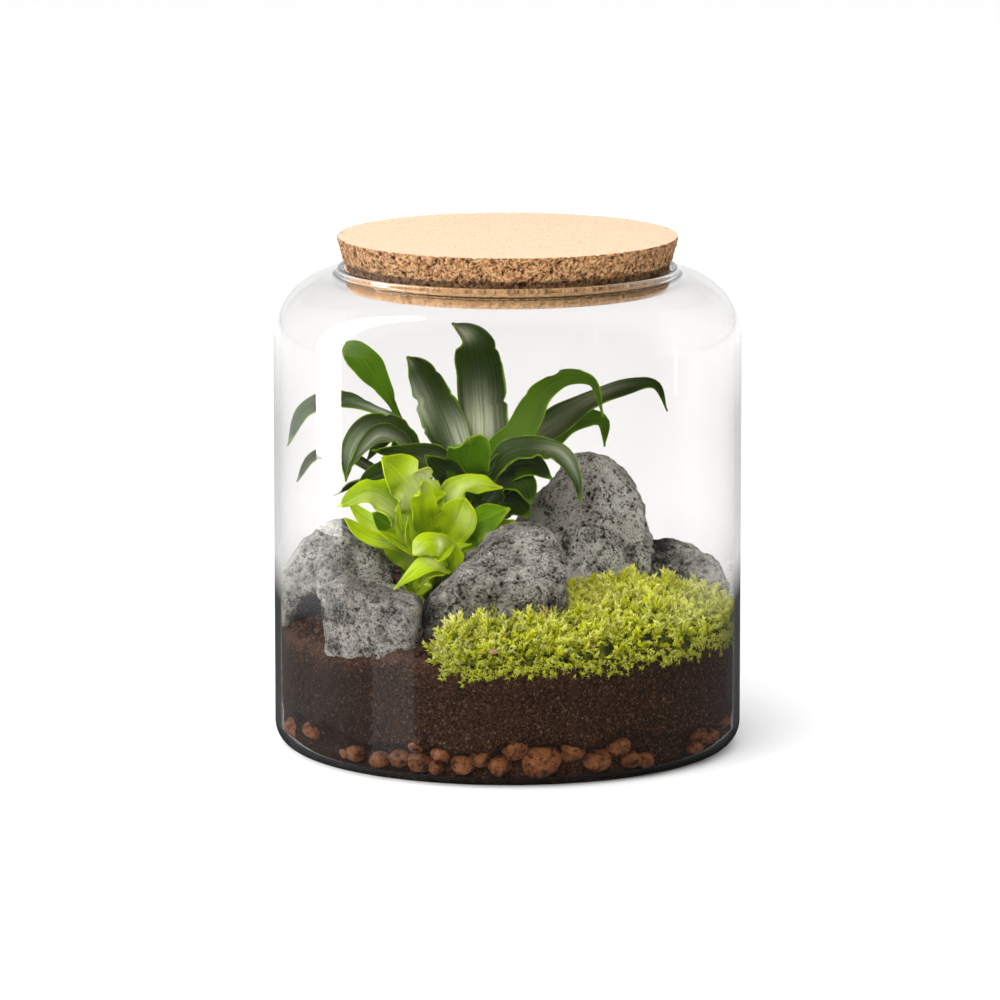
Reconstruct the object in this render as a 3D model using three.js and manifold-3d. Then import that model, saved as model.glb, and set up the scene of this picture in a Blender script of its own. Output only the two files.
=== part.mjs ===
// Glass jar terrarium: a blown glass jar with a cork lid, filled with clay pebbles, soil, lava
// stones, moss and a leafy dracaena with four heads.
//
// Millimetres, +Z up. The origin is the middle of the jar's flat bottom and the front is -Y.

import * as THREE from 'three';
import { mergeVertices } from 'three/addons/utils/BufferGeometryUtils.js';
import Module from 'manifold-3d';

const wasm = await Module();
wasm.setup();

// Jar
const JAR_RADIUS = 100;
const JAR_WALL = 3;
const JAR_BOTTOM = 4;
const JAR_CORNER = 10.5;
const JAR_INNER_CORNER = 8;
const SHOULDER_RADIUS = 28;
const SHOULDER_START = 176.3;
const RIM_TOP = 207;
const RIM_BEAD = 1.4;
const NECK_RADIUS = 70;
const JAR_SEGMENTS = 48;

// Cork lid
const CORK_TOP = 220;
const CORK_HEIGHT = 22;
const CORK_TOP_RADIUS = 73;
const CORK_BOTTOM_RADIUS = 67.8;
const CORK_EDGE = 0.6;

// Gaps between pieces that touch
const FIT_GAP = 0.35;
const ROOM_SCALE = 1.02;

// Soil: its height falls from the middle to the glass and rises towards the back
const FILL_RADIUS = JAR_RADIUS - JAR_WALL - 0.6;
const FILL_BOTTOM = JAR_BOTTOM + FIT_GAP;
const FILL_CORNER = JAR_INNER_CORNER - FIT_GAP;
const SOIL_AT_FRONT = 50.8;
const SOIL_MOUND = 12;
const SOIL_RISE_TO_BACK = 0.045;
const SOIL_FALL_TO_RIGHT = 0.035;
const SOIL_HEAP = 2.8;
const SOIL_DIP = 3;
const SOIL_LUMP = 0.5;
const SOIL_RINGS = 5;
const RING_CROWDING = 1.25;
const ABOVE_FILL = 120;

// Clay pebbles
const PEBBLE_BED_TOP = 15;
const PEBBLE_BED_RADIUS = 89;
const PEBBLE_ROOT = 1.6;
const PEBBLE_SMALL = 3.2;
const PEBBLE_LARGE = 6.4;
const BACK_PEBBLES_START = -18;
const BACK_PEBBLES_END = 216;
const BACK_PEBBLES_STEP = 15;
const BACK_PEBBLE_LIFTS = [1, 7];
const HIGH_PEBBLE_SHARE = 0.35;
const SEED = 20;

// Moss
const MOSS_HEIGHT = 7;
const MOSS_TUFT = 1.6;
const MOSS_START_ANGLE = -106.5;
const MOSS_END_ANGLE = -2;
const MOSS_DEPTH = 3;
const MOSS_COLUMNS = 28;
const MOSS_ROWS = 7;
const MOSS_FRONT_RADIUS = FILL_RADIUS - 0.6;

// Leaves and stems
const BLADE = 0.7;
const BLADE_STEP = 9;
const BLADE_FEWEST_STEPS = 4;
const MAIN_STEM = 4;
const YOUNG_STEM = 3;
const STEM_SIDES = 4;
const STEM_STEPS = 4;

const rad = THREE.MathUtils.degToRad;

// Seeded random numbers from 0 to 1
function randomSource(seed) {
  let state = seed;
  return () => {
    state = (state * 1664525 + 1013904223) % 4294967296;
    return state / 4294967296;
  };
}

// Unit vector of an azimuth and elevation in degrees: 0 is +X, -90 is the front, 90 up is +Z
function direction(azimuth, elevation) {
  const flat = Math.cos(rad(elevation));
  return new THREE.Vector3(
    flat * Math.cos(rad(azimuth)),
    flat * Math.sin(rad(azimuth)),
    Math.sin(rad(elevation)),
  );
}

// Points of an arc in a profile, angles in degrees from +radius towards +height
function arc(centreRadius, centreHeight, radius, from, to, steps) {
  const points = [];
  for (let i = 0; i <= steps; i += 1) {
    const angle = rad(from + ((to - from) * i) / steps);
    points.push(new THREE.Vector2(
      centreRadius + radius * Math.cos(angle),
      centreHeight + radius * Math.sin(angle),
    ));
  }
  return points;
}

// A profile of radius and height turned about the vertical axis
function turned(profile, segments = JAR_SEGMENTS) {
  return new THREE.LatheGeometry(profile, segments).rotateX(Math.PI / 2);
}

// Merge shared points and drop the empty triangles that poles leave
function welded(geometry) {
  const bare = geometry.clone();
  bare.deleteAttribute('normal');
  bare.deleteAttribute('uv');
  const merged = mergeVertices(bare, 1e-4);
  const index = merged.getIndex();
  const kept = [];
  for (let i = 0; i < index.count; i += 3) {
    const corners = [index.getX(i), index.getX(i + 1), index.getX(i + 2)];
    if (new Set(corners).size === 3) kept.push(...corners);
  }
  merged.setIndex(kept);
  return merged;
}

function solid(geometry) {
  const merged = welded(geometry);
  return new wasm.Manifold(new wasm.Mesh({
    numProp: 3,
    vertProperties: new Float32Array(merged.getAttribute('position').array),
    triVerts: new Uint32Array(merged.getIndex().array),
  }));
}

function geometryOf(body) {
  const mesh = body.getMesh();
  const geometry = new THREE.BufferGeometry();
  geometry.setAttribute('position', new THREE.BufferAttribute(mesh.vertProperties, 3));
  geometry.setIndex(new THREE.BufferAttribute(mesh.triVerts, 1));
  return geometry;
}

// The largest body of a solid, without the loose scraps that a cut leaves
function mainBody(body) {
  return body.decompose().reduce((a, b) => (a.volume() > b.volume() ? a : b));
}

function joined(solids) {
  return solids.reduce((all, one) => all.add(one));
}

// A closed sheet between an upper and a lower surface, split into triangles alike on both
function sheet(columns, rows, upper, lower) {
  const positions = [];
  const index = [];
  const count = (columns + 1) * (rows + 1);
  for (const surface of [upper, lower]) {
    for (let j = 0; j <= rows; j += 1) {
      for (let i = 0; i <= columns; i += 1) {
        positions.push(...surface(i / columns, j / rows).toArray());
      }
    }
  }
  const at = (i, j) => j * (columns + 1) + i;
  for (let j = 0; j < rows; j += 1) {
    for (let i = 0; i < columns; i += 1) {
      const [a, b, c, d] = [at(i, j), at(i + 1, j), at(i + 1, j + 1), at(i, j + 1)];
      index.push(a, b, c, a, c, d);
      index.push(a + count, c + count, b + count, a + count, d + count, c + count);
    }
  }
  const rim = [];
  for (let i = 0; i < columns; i += 1) rim.push(at(i, 0));
  for (let j = 0; j < rows; j += 1) rim.push(at(columns, j));
  for (let i = columns; i > 0; i -= 1) rim.push(at(i, rows));
  for (let j = rows; j > 0; j -= 1) rim.push(at(0, j));
  rim.forEach((a, k) => {
    const b = rim[(k + 1) % rim.length];
    index.push(a, a + count, b + count, a, b + count, b);
  });
  const geometry = new THREE.BufferGeometry();
  geometry.setAttribute('position', new THREE.Float32BufferAttribute(positions, 3));
  geometry.setIndex(index);
  return geometry;
}

// Glass jar: one wall, from the middle of the bottom up to the rim and down again inside
function jarGeometry() {
  const wallRadius = JAR_RADIUS - JAR_WALL;
  const shoulderCentre = JAR_RADIUS - SHOULDER_RADIUS;
  const innerShoulder = SHOULDER_RADIUS - JAR_WALL;
  const innerCornerCentre = wallRadius - JAR_INNER_CORNER;
  const innerCornerHeight = JAR_BOTTOM + JAR_INNER_CORNER;
  return turned([
    new THREE.Vector2(0, 0),
    ...arc(JAR_RADIUS - JAR_CORNER, JAR_CORNER, JAR_CORNER, -90, 0, 3),
    ...arc(shoulderCentre, SHOULDER_START, SHOULDER_RADIUS, 0, 88, 6),
    ...arc(NECK_RADIUS + RIM_BEAD, RIM_TOP - RIM_BEAD, RIM_BEAD, -30, 180, 4),
    ...arc(shoulderCentre, SHOULDER_START, innerShoulder, 92, 0, 5),
    ...arc(innerCornerCentre, innerCornerHeight, JAR_INNER_CORNER, 0, -90, 3),
    new THREE.Vector2(0, JAR_BOTTOM),
  ]);
}

// Cork lid: a tapered disc with lightly broken edges
function corkGeometry() {
  const bottom = CORK_TOP - CORK_HEIGHT;
  return turned([
    new THREE.Vector2(0, bottom),
    new THREE.Vector2(CORK_BOTTOM_RADIUS - CORK_EDGE, bottom),
    new THREE.Vector2(CORK_BOTTOM_RADIUS, bottom + CORK_EDGE),
    new THREE.Vector2(CORK_TOP_RADIUS, CORK_TOP - CORK_EDGE),
    new THREE.Vector2(CORK_TOP_RADIUS - CORK_EDGE, CORK_TOP),
    new THREE.Vector2(0, CORK_TOP),
  ]);
}

// Soil surface
function soilHeight(x, y) {
  const reach = Math.min(Math.hypot(x, y) / FILL_RADIUS, 1);
  const mound = SOIL_MOUND * (1 - reach ** 4);
  const slope = SOIL_RISE_TO_BACK * (y + FILL_RADIUS) - SOIL_FALL_TO_RIGHT * Math.max(x, 0);
  const heap = SOIL_HEAP * Math.exp(-(((x + 52) / 22) ** 2) - ((y + 85) / 30) ** 2);
  const dip = SOIL_DIP * Math.exp(-(((x + 13) / 12) ** 2) - ((y + 97) / 14) ** 2);
  const lumps = SOIL_LUMP * (Math.sin(x * 0.31 + y * 0.12) + Math.sin(y * 0.27 - x * 0.19));
  return SOIL_AT_FRONT + mound + slope + heap - dip + lumps;
}

// The space that a fill takes in the jar. Its top is turned flat, well above the fill, in rings
// that crowd towards the glass, and then takes the height given for each place.
function fillGeometry(radius, top, rings) {
  const profile = [
    new THREE.Vector2(0, FILL_BOTTOM),
    ...arc(radius - FILL_CORNER, FILL_BOTTOM + FILL_CORNER, FILL_CORNER, -90, 0, 3),
  ];
  for (let ring = 0; ring <= rings; ring += 1) {
    const reach = 1 - (ring / rings) ** RING_CROWDING;
    profile.push(new THREE.Vector2(radius * reach, ABOVE_FILL));
  }
  const geometry = turned(profile);
  const position = geometry.getAttribute('position');
  for (let i = 0; i < position.count; i += 1) {
    if (position.getZ(i) > ABOVE_FILL - 1) {
      position.setZ(i, top(position.getX(i), position.getY(i)));
    }
  }
  return geometry;
}

// Clay pebbles seen through the glass: angle round the jar, height and half width of each
const FRONT_PEBBLES = [
  [-133, 9, 3.4], [-125, 8, 3.4], [-119, 9.5, 4.2], [-113.5, 8.5, 4.4], [-114, 16.5, 3],
  [-108.5, 7.5, 2.8], [-107.5, 13, 3.4], [-101.5, 9, 4], [-97, 13, 4.2], [-92, 9, 3.8],
  [-88, 16.5, 5.2], [-81, 10, 7.6], [-73, 14, 4.4], [-66, 9.5, 5.6], [-60, 15, 4.6],
  [-56.5, 8.5, 3.6], [-52, 7.5, 2.8], [-31, 13.5, 3.6], [-25, 11, 3.8], [-33, 8, 3],
];

// The rest of the ring of pebbles, behind the ones in front
function backPebbles() {
  const random = randomSource(SEED);
  const pebbles = [];
  for (let angle = BACK_PEBBLES_START; angle < BACK_PEBBLES_END; angle += BACK_PEBBLES_STEP) {
    const size = PEBBLE_SMALL + (PEBBLE_LARGE - PEBBLE_SMALL) * random();
    const lift = BACK_PEBBLE_LIFTS[random() < HIGH_PEBBLE_SHARE ? 1 : 0];
    pebbles.push([angle + 4 * random(), FILL_BOTTOM + lift + size * 0.75, size]);
  }
  return pebbles;
}

function pebbleSolids(grow) {
  const random = randomSource(SEED + 1);
  return [...FRONT_PEBBLES, ...backPebbles()].map(([angle, height, size]) => {
    const geometry = new THREE.IcosahedronGeometry(1);
    const half = size + grow;
    geometry.rotateX(6 * random()).rotateY(6 * random());
    geometry.scale(half + PEBBLE_ROOT, half, half * (0.75 + 0.15 * random()));
    geometry.translate(FILL_RADIUS - size - PEBBLE_ROOT, 0, height).rotateZ(rad(angle));
    return solid(geometry);
  });
}

function pebbleBed(grow) {
  const height = PEBBLE_BED_TOP - FILL_BOTTOM + 2 * grow;
  const middle = (PEBBLE_BED_TOP + FILL_BOTTOM) / 2;
  const bed = new THREE.CylinderGeometry(
    PEBBLE_BED_RADIUS + grow, PEBBLE_BED_RADIUS - 3 + grow, height, JAR_SEGMENTS / 2,
  );
  return solid(bed.rotateX(Math.PI / 2).translate(0, 0, middle));
}

// Lava stones: each is a block with rounded edges, cut by flat faces. A face is the azimuth and
// elevation that it looks to and its distance from the stone's centre. A dent is the azimuth and
// elevation where it lies, its angular width and its depth as a share of the reach there.
const STONES = {
  stone_front_left: {
    centre: [-55.5, -62, 66],
    faces: [
      [180, 0, 20.5], [0, -5, 19.6], [0, 80, 12.8], [180, 50, 21.8], [0, 45, 18.5], [-95, 8, 18],
      [-133, 0, 16], [90, 12, 17], [45, 10, 24], [-40, 0, 24], [-115, -45, 20.5], [0, -90, 16],
    ],
    dents: [[-60, 70, 20, 0.1]],
  },
  stone_back_left: {
    centre: [-70, -10, 74],
    faces: [
      [180, 0, 28], [180, 38, 22], [150, 75, 24], [0, 57, 19], [0, 15, 24.5], [0, -30, 18],
      [-75, 25, 19], [-120, 20, 24], [90, 15, 22], [135, 40, 24], [50, 25, 22], [0, -90, 20],
    ],
    dents: [[-123, -27, 16, 0.4]],
  },
  stone_centre: {
    centre: [-5, -52, 77],
    faces: [
      [180, -5, 30.5], [180, 45, 17.2], [180, 72, 23], [0, 75, 31], [0, 52, 32.5], [0, 25, 32],
      [0, 0, 29.5], [0, -45, 24], [-90, 55, 19.5], [-88, -8, 21], [75, 20, 19], [110, 10, 20],
      [140, 10, 21], [0, -90, 21],
    ],
    dents: [],
  },
  stone_back: {
    centre: [35, 20, 87],
    faces: [
      [180, 45, 29], [180, 10, 32.5], [180, 75, 34], [0, 60, 32], [0, 40, 28.8], [0, 15, 26.6],
      [0, -20, 30.5], [-112, 28, 20], [-60, 25, 21], [90, 20, 20], [128, 25, 24], [48, 20, 26],
      [0, -90, 30],
    ],
    dents: [[-95, -5, 22, 0.08]],
  },
  stone_right: {
    centre: [79, 14, 70],
    faces: [
      [180, 0, 14.2], [180, 40, 21], [180, 80, 17], [0, 62, 10.8], [0, 30, 13.8], [0, 0, 16.5],
      [-90, 25, 12], [90, 20, 13], [0, -45, 15.5], [0, -90, 16],
    ],
    dents: [],
  },
};
const STONE_ROUNDING = 30;
const STONE_DETAIL = 3;
const STONE_ROUGHNESS = 0.03;
const STONE_REACH = FILL_RADIUS - 0.5;

function stoneGeometry({ centre, faces, dents }, scale = 1) {
  const geometry = welded(new THREE.IcosahedronGeometry(1, STONE_DETAIL));
  const position = geometry.getAttribute('position');
  const normals = faces.map(([azimuth, elevation]) => direction(azimuth, elevation));
  const spot = new THREE.Vector3();
  for (let i = 0; i < position.count; i += 1) {
    spot.fromBufferAttribute(position, i).normalize();
    let sum = 0;
    faces.forEach(([, , distance], k) => {
      sum += (Math.max(spot.dot(normals[k]), 0) / distance) ** STONE_ROUNDING;
    });
    let reach = sum ** (-1 / STONE_ROUNDING);
    dents.forEach(([azimuth, elevation, width, depth]) => {
      const off = spot.angleTo(direction(azimuth, elevation)) / rad(width);
      reach *= 1 - depth * Math.exp(-off * off);
    });
    const lumps = Math.sin(spot.x * 7 + centre[0]) * Math.sin(spot.y * 6 + centre[1])
      + Math.sin(spot.z * 8 + spot.x * 4);
    spot.multiplyScalar(reach * (1 + STONE_ROUGHNESS * lumps) * scale);
    spot.add(new THREE.Vector3(...centre));
    const inside = Math.min(1, (STONE_REACH * scale) / Math.hypot(spot.x, spot.y));
    position.setXYZ(i, spot.x * inside, spot.y * inside, spot.z);
  }
  return geometry;
}

// Moss carpet: from the glass at the front to its back edge, where it meets the stones
const MOSS_BACK_EDGE = new THREE.CatmullRomCurve3([
  [-29, -90], [-20, -83], [-6, -74], [12, -65], [21, -50], [27, -27], [40, -13], [54, -3],
  [66, 3], [80, 4], [93, 10],
].map(([x, y]) => new THREE.Vector3(x, y, 0)));

function mossTop(across, back, x, y) {
  const ends = Math.min(1, 8 * across + 0.35, 8 * (1 - across) + 0.35);
  const edge = Math.min(1, 5 * back + 0.45, 5 * (1 - back) + 0.3);
  const tufts = Math.sin(x * 0.62 + 0.8 * Math.sin(y * 0.4)) * Math.sin(y * 0.66 + x * 0.1);
  return soilHeight(x, y) + MOSS_HEIGHT * Math.sqrt(ends * edge) + MOSS_TUFT * tufts;
}

function mossGeometry() {
  const place = (across, back) => {
    const angle = rad(MOSS_START_ANGLE + (MOSS_END_ANGLE - MOSS_START_ANGLE) * across);
    const front = new THREE.Vector3(Math.cos(angle), Math.sin(angle), 0);
    front.multiplyScalar(MOSS_FRONT_RADIUS);
    return front.lerp(MOSS_BACK_EDGE.getPoint(across), back);
  };
  const upper = (across, back) => {
    const spot = place(across, back);
    return spot.setZ(mossTop(across, back, spot.x, spot.y));
  };
  const lower = (across, back) => {
    const spot = place(across, back);
    return spot.setZ(soilHeight(spot.x, spot.y) - MOSS_DEPTH);
  };
  return sheet(MOSS_COLUMNS, MOSS_ROWS, upper, lower);
}

// The four heads of the dracaena. A leaf starts on the stem, the given part of the way up it, and
// runs through the points of its path. Its upper side looks to the azimuth and elevation of face.
// peak is where the blade is widest, and a larger point makes a blunter tip. wave is how far the
// edges rise and fall. The leaves at the back of each head come last.
const HEADS = {
  dracaena_main_head: {
    colour: 0x2f5a17,
    stem: { radius: MAIN_STEM, path: [[-22, 2, 42], [-20, 2, 80], [-14, 2, 112]] },
    leaves: [
      { from: 0.95, width: 22.5, face: [-98, 22], wave: 0.9, peak: 0.34, point: 3.2,
        path: [[-10, 11, 130], [-11, 19, 149], [-12.5, 18, 163], [-15.5, 10, 176], [-23.5, 2, 183.5]] },
      { from: 0.9, width: 18, face: [-104, 24], wave: 0.9, peak: 0.42, point: 3.4,
        path: [[-24, 11, 131], [-31, 16, 146], [-38, 12, 160], [-43, 5, 166.8]] },
      { from: 0.8, width: 20, face: [-90, 22], wave: 1, peak: 0.66, point: 4.5,
        path: [[-17, -12, 120], [-16, -25, 134.5], [-16.5, -29, 136.5]] },
      { from: 0.9, width: 18, face: [-112, 12], wave: 0.8, peak: 0.28, point: 1,
        path: [[4, 6, 132], [14, 9, 149], [25, 10, 157], [36, 8, 156], [41, 3, 141]] },
      { from: 0.86, width: 13.5, face: [-108, 38], wave: 0.9, peak: 0.44, point: 1.5,
        path: [[14, 18, 131], [35, 25, 144], [52, 25, 151], [64, 22, 152], [69, 19, 141]] },
      { from: 0.82, width: 13.5, face: [-92, 35], wave: 0.8, peak: 0.5, point: 1.9,
        path: [[17, 26, 128], [30, 31, 135], [41, 31, 135], [42, 28, 124]] },
      { from: 0.84, width: 14, face: [-104, 46], wave: 0.9, peak: 0.42, point: 1.5,
        path: [[0, -12, 127], [13, -20, 131], [22, -25, 130], [29, -27, 120], [31, -27, 109]] },
      { from: 0.76, width: 14.5, face: [-75, 20], wave: 0.8, peak: 0.5, point: 2.6,
        path: [[0, -8, 121], [11, -14, 123], [19, -14, 117]] },
      { from: 0.66, width: 13, face: [-75, 30], wave: 0.6, peak: 0.6, point: 3.2,
        path: [[-2, -8, 115], [7, -16, 115], [10, -20, 107]] },
      { from: 0.74, width: 13.5, face: [-95, 20], wave: 1.3, peak: 0.42, point: 1.8,
        path: [[-26, -10, 121], [-41, -17, 128], [-57.5, -24, 131]] },
      { from: 0.66, width: 13, face: [-95, 10], wave: 0.8, peak: 0.55, point: 2.6,
        path: [[-24, -12, 118], [-30, -20, 124], [-35, -24, 129]] },
      { from: 0.9, width: 15, face: [90, 30], wave: 0.8, peak: 0.45, point: 1.8,
        path: [[-14, 20, 128], [-12, 38, 139], [-10, 56, 132]] },
      { from: 0.8, width: 14, face: [60, 40], wave: 0.8, peak: 0.45, point: 1.7,
        path: [[-2, 22, 116], [12, 40, 121], [24, 54, 112]] },
      { from: 0.7, width: 14, face: [95, 45], wave: 0.8, peak: 0.5, point: 1.8,
        path: [[-20, 20, 104], [-20, 40, 106], [-18, 58, 94]] },
      { from: 0.78, width: 14, face: [120, 45], wave: 0.8, peak: 0.45, point: 1.7,
        path: [[-24, 22, 112], [-34, 40, 116], [-46, 54, 106]] },
    ],
  },
  dracaena_left_head: {
    colour: 0x35611a,
    stem: { radius: MAIN_STEM, path: [[-38, 8, 42], [-37, 8, 80], [-36, 8, 114]] },
    leaves: [
      { from: 0.95, width: 13.5, face: [-80, 25], wave: 0.5, peak: 0.8, point: 4, stalk: 7,
        path: [[-45, 14, 134], [-51, 13, 148], [-60, 10, 162], [-71, 8, 172.5]] },
      { from: 0.9, width: 9.5, face: [-100, 45], wave: 0.6, peak: 0.7, point: 1.8,
        path: [[-45, 11, 138], [-58, 10, 146], [-74, 7, 149], [-87, 3, 144], [-94.5, 0, 129]] },
      { from: 0.85, width: 12, face: [-96, 25], wave: 0.8, peak: 0.5, point: 2.4,
        path: [[-47, 5, 134], [-60, -1, 136.5], [-67, -5, 129], [-69, -9, 115]] },
      { from: 0.85, width: 9.5, face: [-80, 40], wave: 0.9, peak: 0.5, point: 1.5,
        path: [[-44, -6, 130], [-54, -14, 136.5], [-61, -19, 132], [-68.5, -21, 121]] },
      { from: 0.75, width: 13, face: [-90, 20], wave: 0.8, peak: 0.5, point: 1.8,
        path: [[-47, -16, 120], [-58, -22, 119], [-65, -25, 111]] },
      { from: 0.85, width: 13, face: [110, 35], wave: 0.8, peak: 0.45, point: 1.7,
        path: [[-42, 22, 122], [-52, 38, 126], [-62, 50, 114]] },
      { from: 0.72, width: 12, face: [130, 50], wave: 0.8, peak: 0.45, point: 1.7,
        path: [[-46, 16, 106], [-60, 24, 110], [-76, 30, 102]] },
    ],
  },
  dracaena_young_head: {
    colour: 0x6fb816,
    stem: { radius: YOUNG_STEM, path: [[-32, -18, 42], [-32, -19, 70], [-31, -20, 94]] },
    leaves: [
      { from: 0.95, width: 19.5, face: [-92, 30], wave: 1.2, peak: 0.55, point: 2.4,
        path: [[-40, -27, 115], [-53, -34, 130]] },
      { from: 0.86, width: 11, face: [-88, 20], wave: 0.5, peak: 0.5, point: 4,
        path: [[-35, -33, 105], [-36, -38, 116], [-37, -45, 121]] },
      { from: 0.84, width: 16, face: [-90, 18], wave: 0.6, peak: 0.62, point: 4,
        path: [[-22, -31, 101], [-18, -35, 113]] },
      { from: 0.78, width: 15.5, face: [-80, 28], wave: 0.9, peak: 0.5, point: 2.4,
        path: [[-13, -27, 100], [1, -29, 107]] },
      { from: 0.66, width: 14.5, face: [-80, 28], wave: 0.8, peak: 0.55, point: 2.4,
        path: [[-10, -23, 92], [3, -24, 101]] },
      { from: 0.95, width: 11, face: [-88, 50], wave: 1.3, peak: 0.45, point: 2.4,
        path: [[-19, -22, 115], [-2, -24, 115]] },
      { from: 0.9, width: 16, face: [-88, 34], wave: 0.8, peak: 0.46, point: 2,
        path: [[-47, -28, 108], [-59, -35, 115], [-72, -38, 109]] },
      { from: 0.8, width: 5.5, face: [-88, 15], wave: 0.3, peak: 0.5, point: 1.6,
        path: [[-45, -34, 98], [-46, -37, 111]] },
      { from: 0.72, width: 5.5, face: [-88, 15], wave: 0.3, peak: 0.5, point: 1.6,
        path: [[-41, -34, 94], [-42, -38, 105]] },
      { from: 0.7, width: 7, face: [-88, 40], wave: 0.4, peak: 0.5, point: 1.8,
        path: [[-44, -32, 92], [-55, -37, 99]] },
      { from: 0.88, width: 10, face: [-88, 25], wave: 0.6, peak: 0.6, point: 2.4,
        path: [[-34, -24, 110], [-26, -26, 113]] },
      { from: 0.74, width: 7.5, face: [-90, 20], wave: 0.4, peak: 0.66, point: 2.4,
        path: [[-50, -2, 92], [-61, 8, 96], [-69, 14, 103]] },
    ],
  },
  dracaena_young_shoot: {
    colour: 0x7cc41c,
    stem: { radius: YOUNG_STEM, path: [[-38, -34, 42], [-37, -37, 62], [-31, -43, 80]] },
    leaves: [
      { from: 0.95, width: 13.5, face: [-80, 45], wave: 0.2, peak: 0.6, point: 4,
        path: [[-23, -50, 92], [-28, -54, 101], [-37, -58, 101], [-40, -60, 94]] },
      { from: 0.85, width: 11, face: [-75, 50], wave: 0.2, peak: 0.45, point: 1.6,
        path: [[-28, -54, 91], [-33, -61, 93], [-39, -64, 88], [-47, -64, 80]] },
      { from: 0.75, width: 10, face: [-90, 45], wave: 0.2, peak: 0.5, point: 3,
        path: [[-31, -54, 85], [-35, -60, 84], [-37, -61, 79]] },
      { from: 0.6, width: 7.5, face: [-90, 45], wave: 0.2, peak: 0.5, point: 2,
        path: [[-35, -51, 78], [-39, -57, 76], [-44, -61, 80]] },
      { from: 0.9, width: 5, face: [-85, 40], wave: 0.2, peak: 0.5, point: 1.8,
        path: [[-22, -42, 92], [-15, -42, 94]] },
      { from: 0.9, width: 11, face: [-85, 50], wave: 0.2, peak: 0.55, point: 4,
        path: [[-28, -52, 94], [-29, -58, 89]] },
    ],
  },
};
const LEAF_BASE = 0.3;
const LEAF_CUP = 0.16;
const LEAF_WAVES = 2.5;

function curveOf(path) {
  const points = path.map((point) => new THREE.Vector3(...point));
  return new THREE.CatmullRomCurve3(points, false, 'centripetal');
}

// Half width of a blade: a narrow base, its widest place at peak, and a blunt or drawn-out tip. A
// larger stalk keeps the lower part slim for longer.
function halfWidth({ width, peak, point, stalk = 1 }, along) {
  if (along < peak) {
    const growth = Math.sin((Math.PI / 2) * (along / peak)) ** stalk;
    return (width / 2) * THREE.MathUtils.lerp(LEAF_BASE, 1, growth);
  }
  return (width / 2) * Math.max(1 - ((along - peak) / (1 - peak)) ** point, 0.06);
}

// A leaf: a thin blade that rises from the stem, cupped across and waved along both edges
function leafGeometry(leaf, stem) {
  const [x, y, z] = stem.getPoint(leaf.from).toArray();
  const curve = curveOf([[x, y, z], ...leaf.path]);
  const facing = direction(...leaf.face);
  const surface = (offset) => (across, along) => {
    const middle = curve.getPointAt(along);
    const tangent = curve.getTangentAt(along);
    const upper = facing.clone().addScaledVector(tangent, -facing.dot(tangent)).normalize();
    const side = new THREE.Vector3().crossVectors(tangent, upper);
    const reach = across * 2 - 1;
    const half = halfWidth(leaf, along);
    const wave = leaf.wave * Math.sin(2 * Math.PI * LEAF_WAVES * along + 2 * reach);
    const lift = Math.abs(reach) * (LEAF_CUP * half + wave * Math.sin(Math.PI * along));
    return middle.addScaledVector(side, reach * half).addScaledVector(upper, lift + offset);
  };
  const steps = Math.max(BLADE_FEWEST_STEPS, Math.round(curve.getLength() / BLADE_STEP));
  return sheet(2, steps, surface(BLADE / 2), surface(-BLADE / 2));
}

function stemGeometry({ radius, path }, grow = 0) {
  const ring = new THREE.Shape().absarc(0, 0, radius + grow, 0, 2 * Math.PI);
  return new THREE.ExtrudeGeometry(ring, {
    steps: STEM_STEPS, curveSegments: STEM_SIDES, bevelEnabled: false, extrudePath: curveOf(path),
  });
}

function headSolid({ stem, leaves }) {
  const line = curveOf(stem.path);
  return joined([
    solid(stemGeometry(stem)),
    ...leaves.map((leaf) => solid(leafGeometry(leaf, line))),
  ]);
}

// Assembly
const terrarium = new THREE.Group();

function addPart(name, geometry, colour, roughness, options = {}) {
  const material = new THREE.MeshStandardMaterial({
    color: colour, roughness, metalness: 0, ...options,
  });
  const mesh = new THREE.Mesh(geometry, material);
  mesh.name = name;
  terrarium.add(mesh);
}

const pebbles = joined([pebbleBed(0), ...pebbleSolids(0)])
  .intersect(solid(fillGeometry(FILL_RADIUS, () => 40, 2)));
const pebbleRoom = joined([pebbleBed(FIT_GAP), ...pebbleSolids(FIT_GAP)]);
const stoneRooms = joined(
  Object.values(STONES).map((stone) => solid(stoneGeometry(stone, ROOM_SCALE))),
);
const stemRooms = joined(
  Object.values(HEADS).map(({ stem }) => solid(stemGeometry(stem, FIT_GAP))),
);
const soilBlank = solid(fillGeometry(FILL_RADIUS, soilHeight, SOIL_RINGS));
const soil = mainBody(soilBlank.subtract(pebbleRoom).subtract(stoneRooms).subtract(stemRooms));
const moss = mainBody(
  solid(mossGeometry()).subtract(soilBlank.translate(0, 0, FIT_GAP)).subtract(stoneRooms),
);

addPart('glass_jar', welded(jarGeometry()), 0xf2f6f5, 0.03, { transparent: true, opacity: 0.25 });
addPart('cork_lid', welded(corkGeometry()), 0xc89a6a, 0.9);
addPart('clay_pebbles', geometryOf(mainBody(pebbles)), 0x9a4f2a, 0.95);
addPart('soil', geometryOf(soil), 0x3a2318, 1);
Object.entries(STONES).forEach(([name, stone]) => {
  addPart(name, stoneGeometry(stone), 0x6a6a6c, 0.95);
});
addPart('moss_carpet', geometryOf(moss), 0x8fa526, 1);
Object.entries(HEADS).forEach(([name, head]) => {
  addPart(name, geometryOf(headSolid(head)), head.colour, 0.4);
});

export default terrarium;
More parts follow.
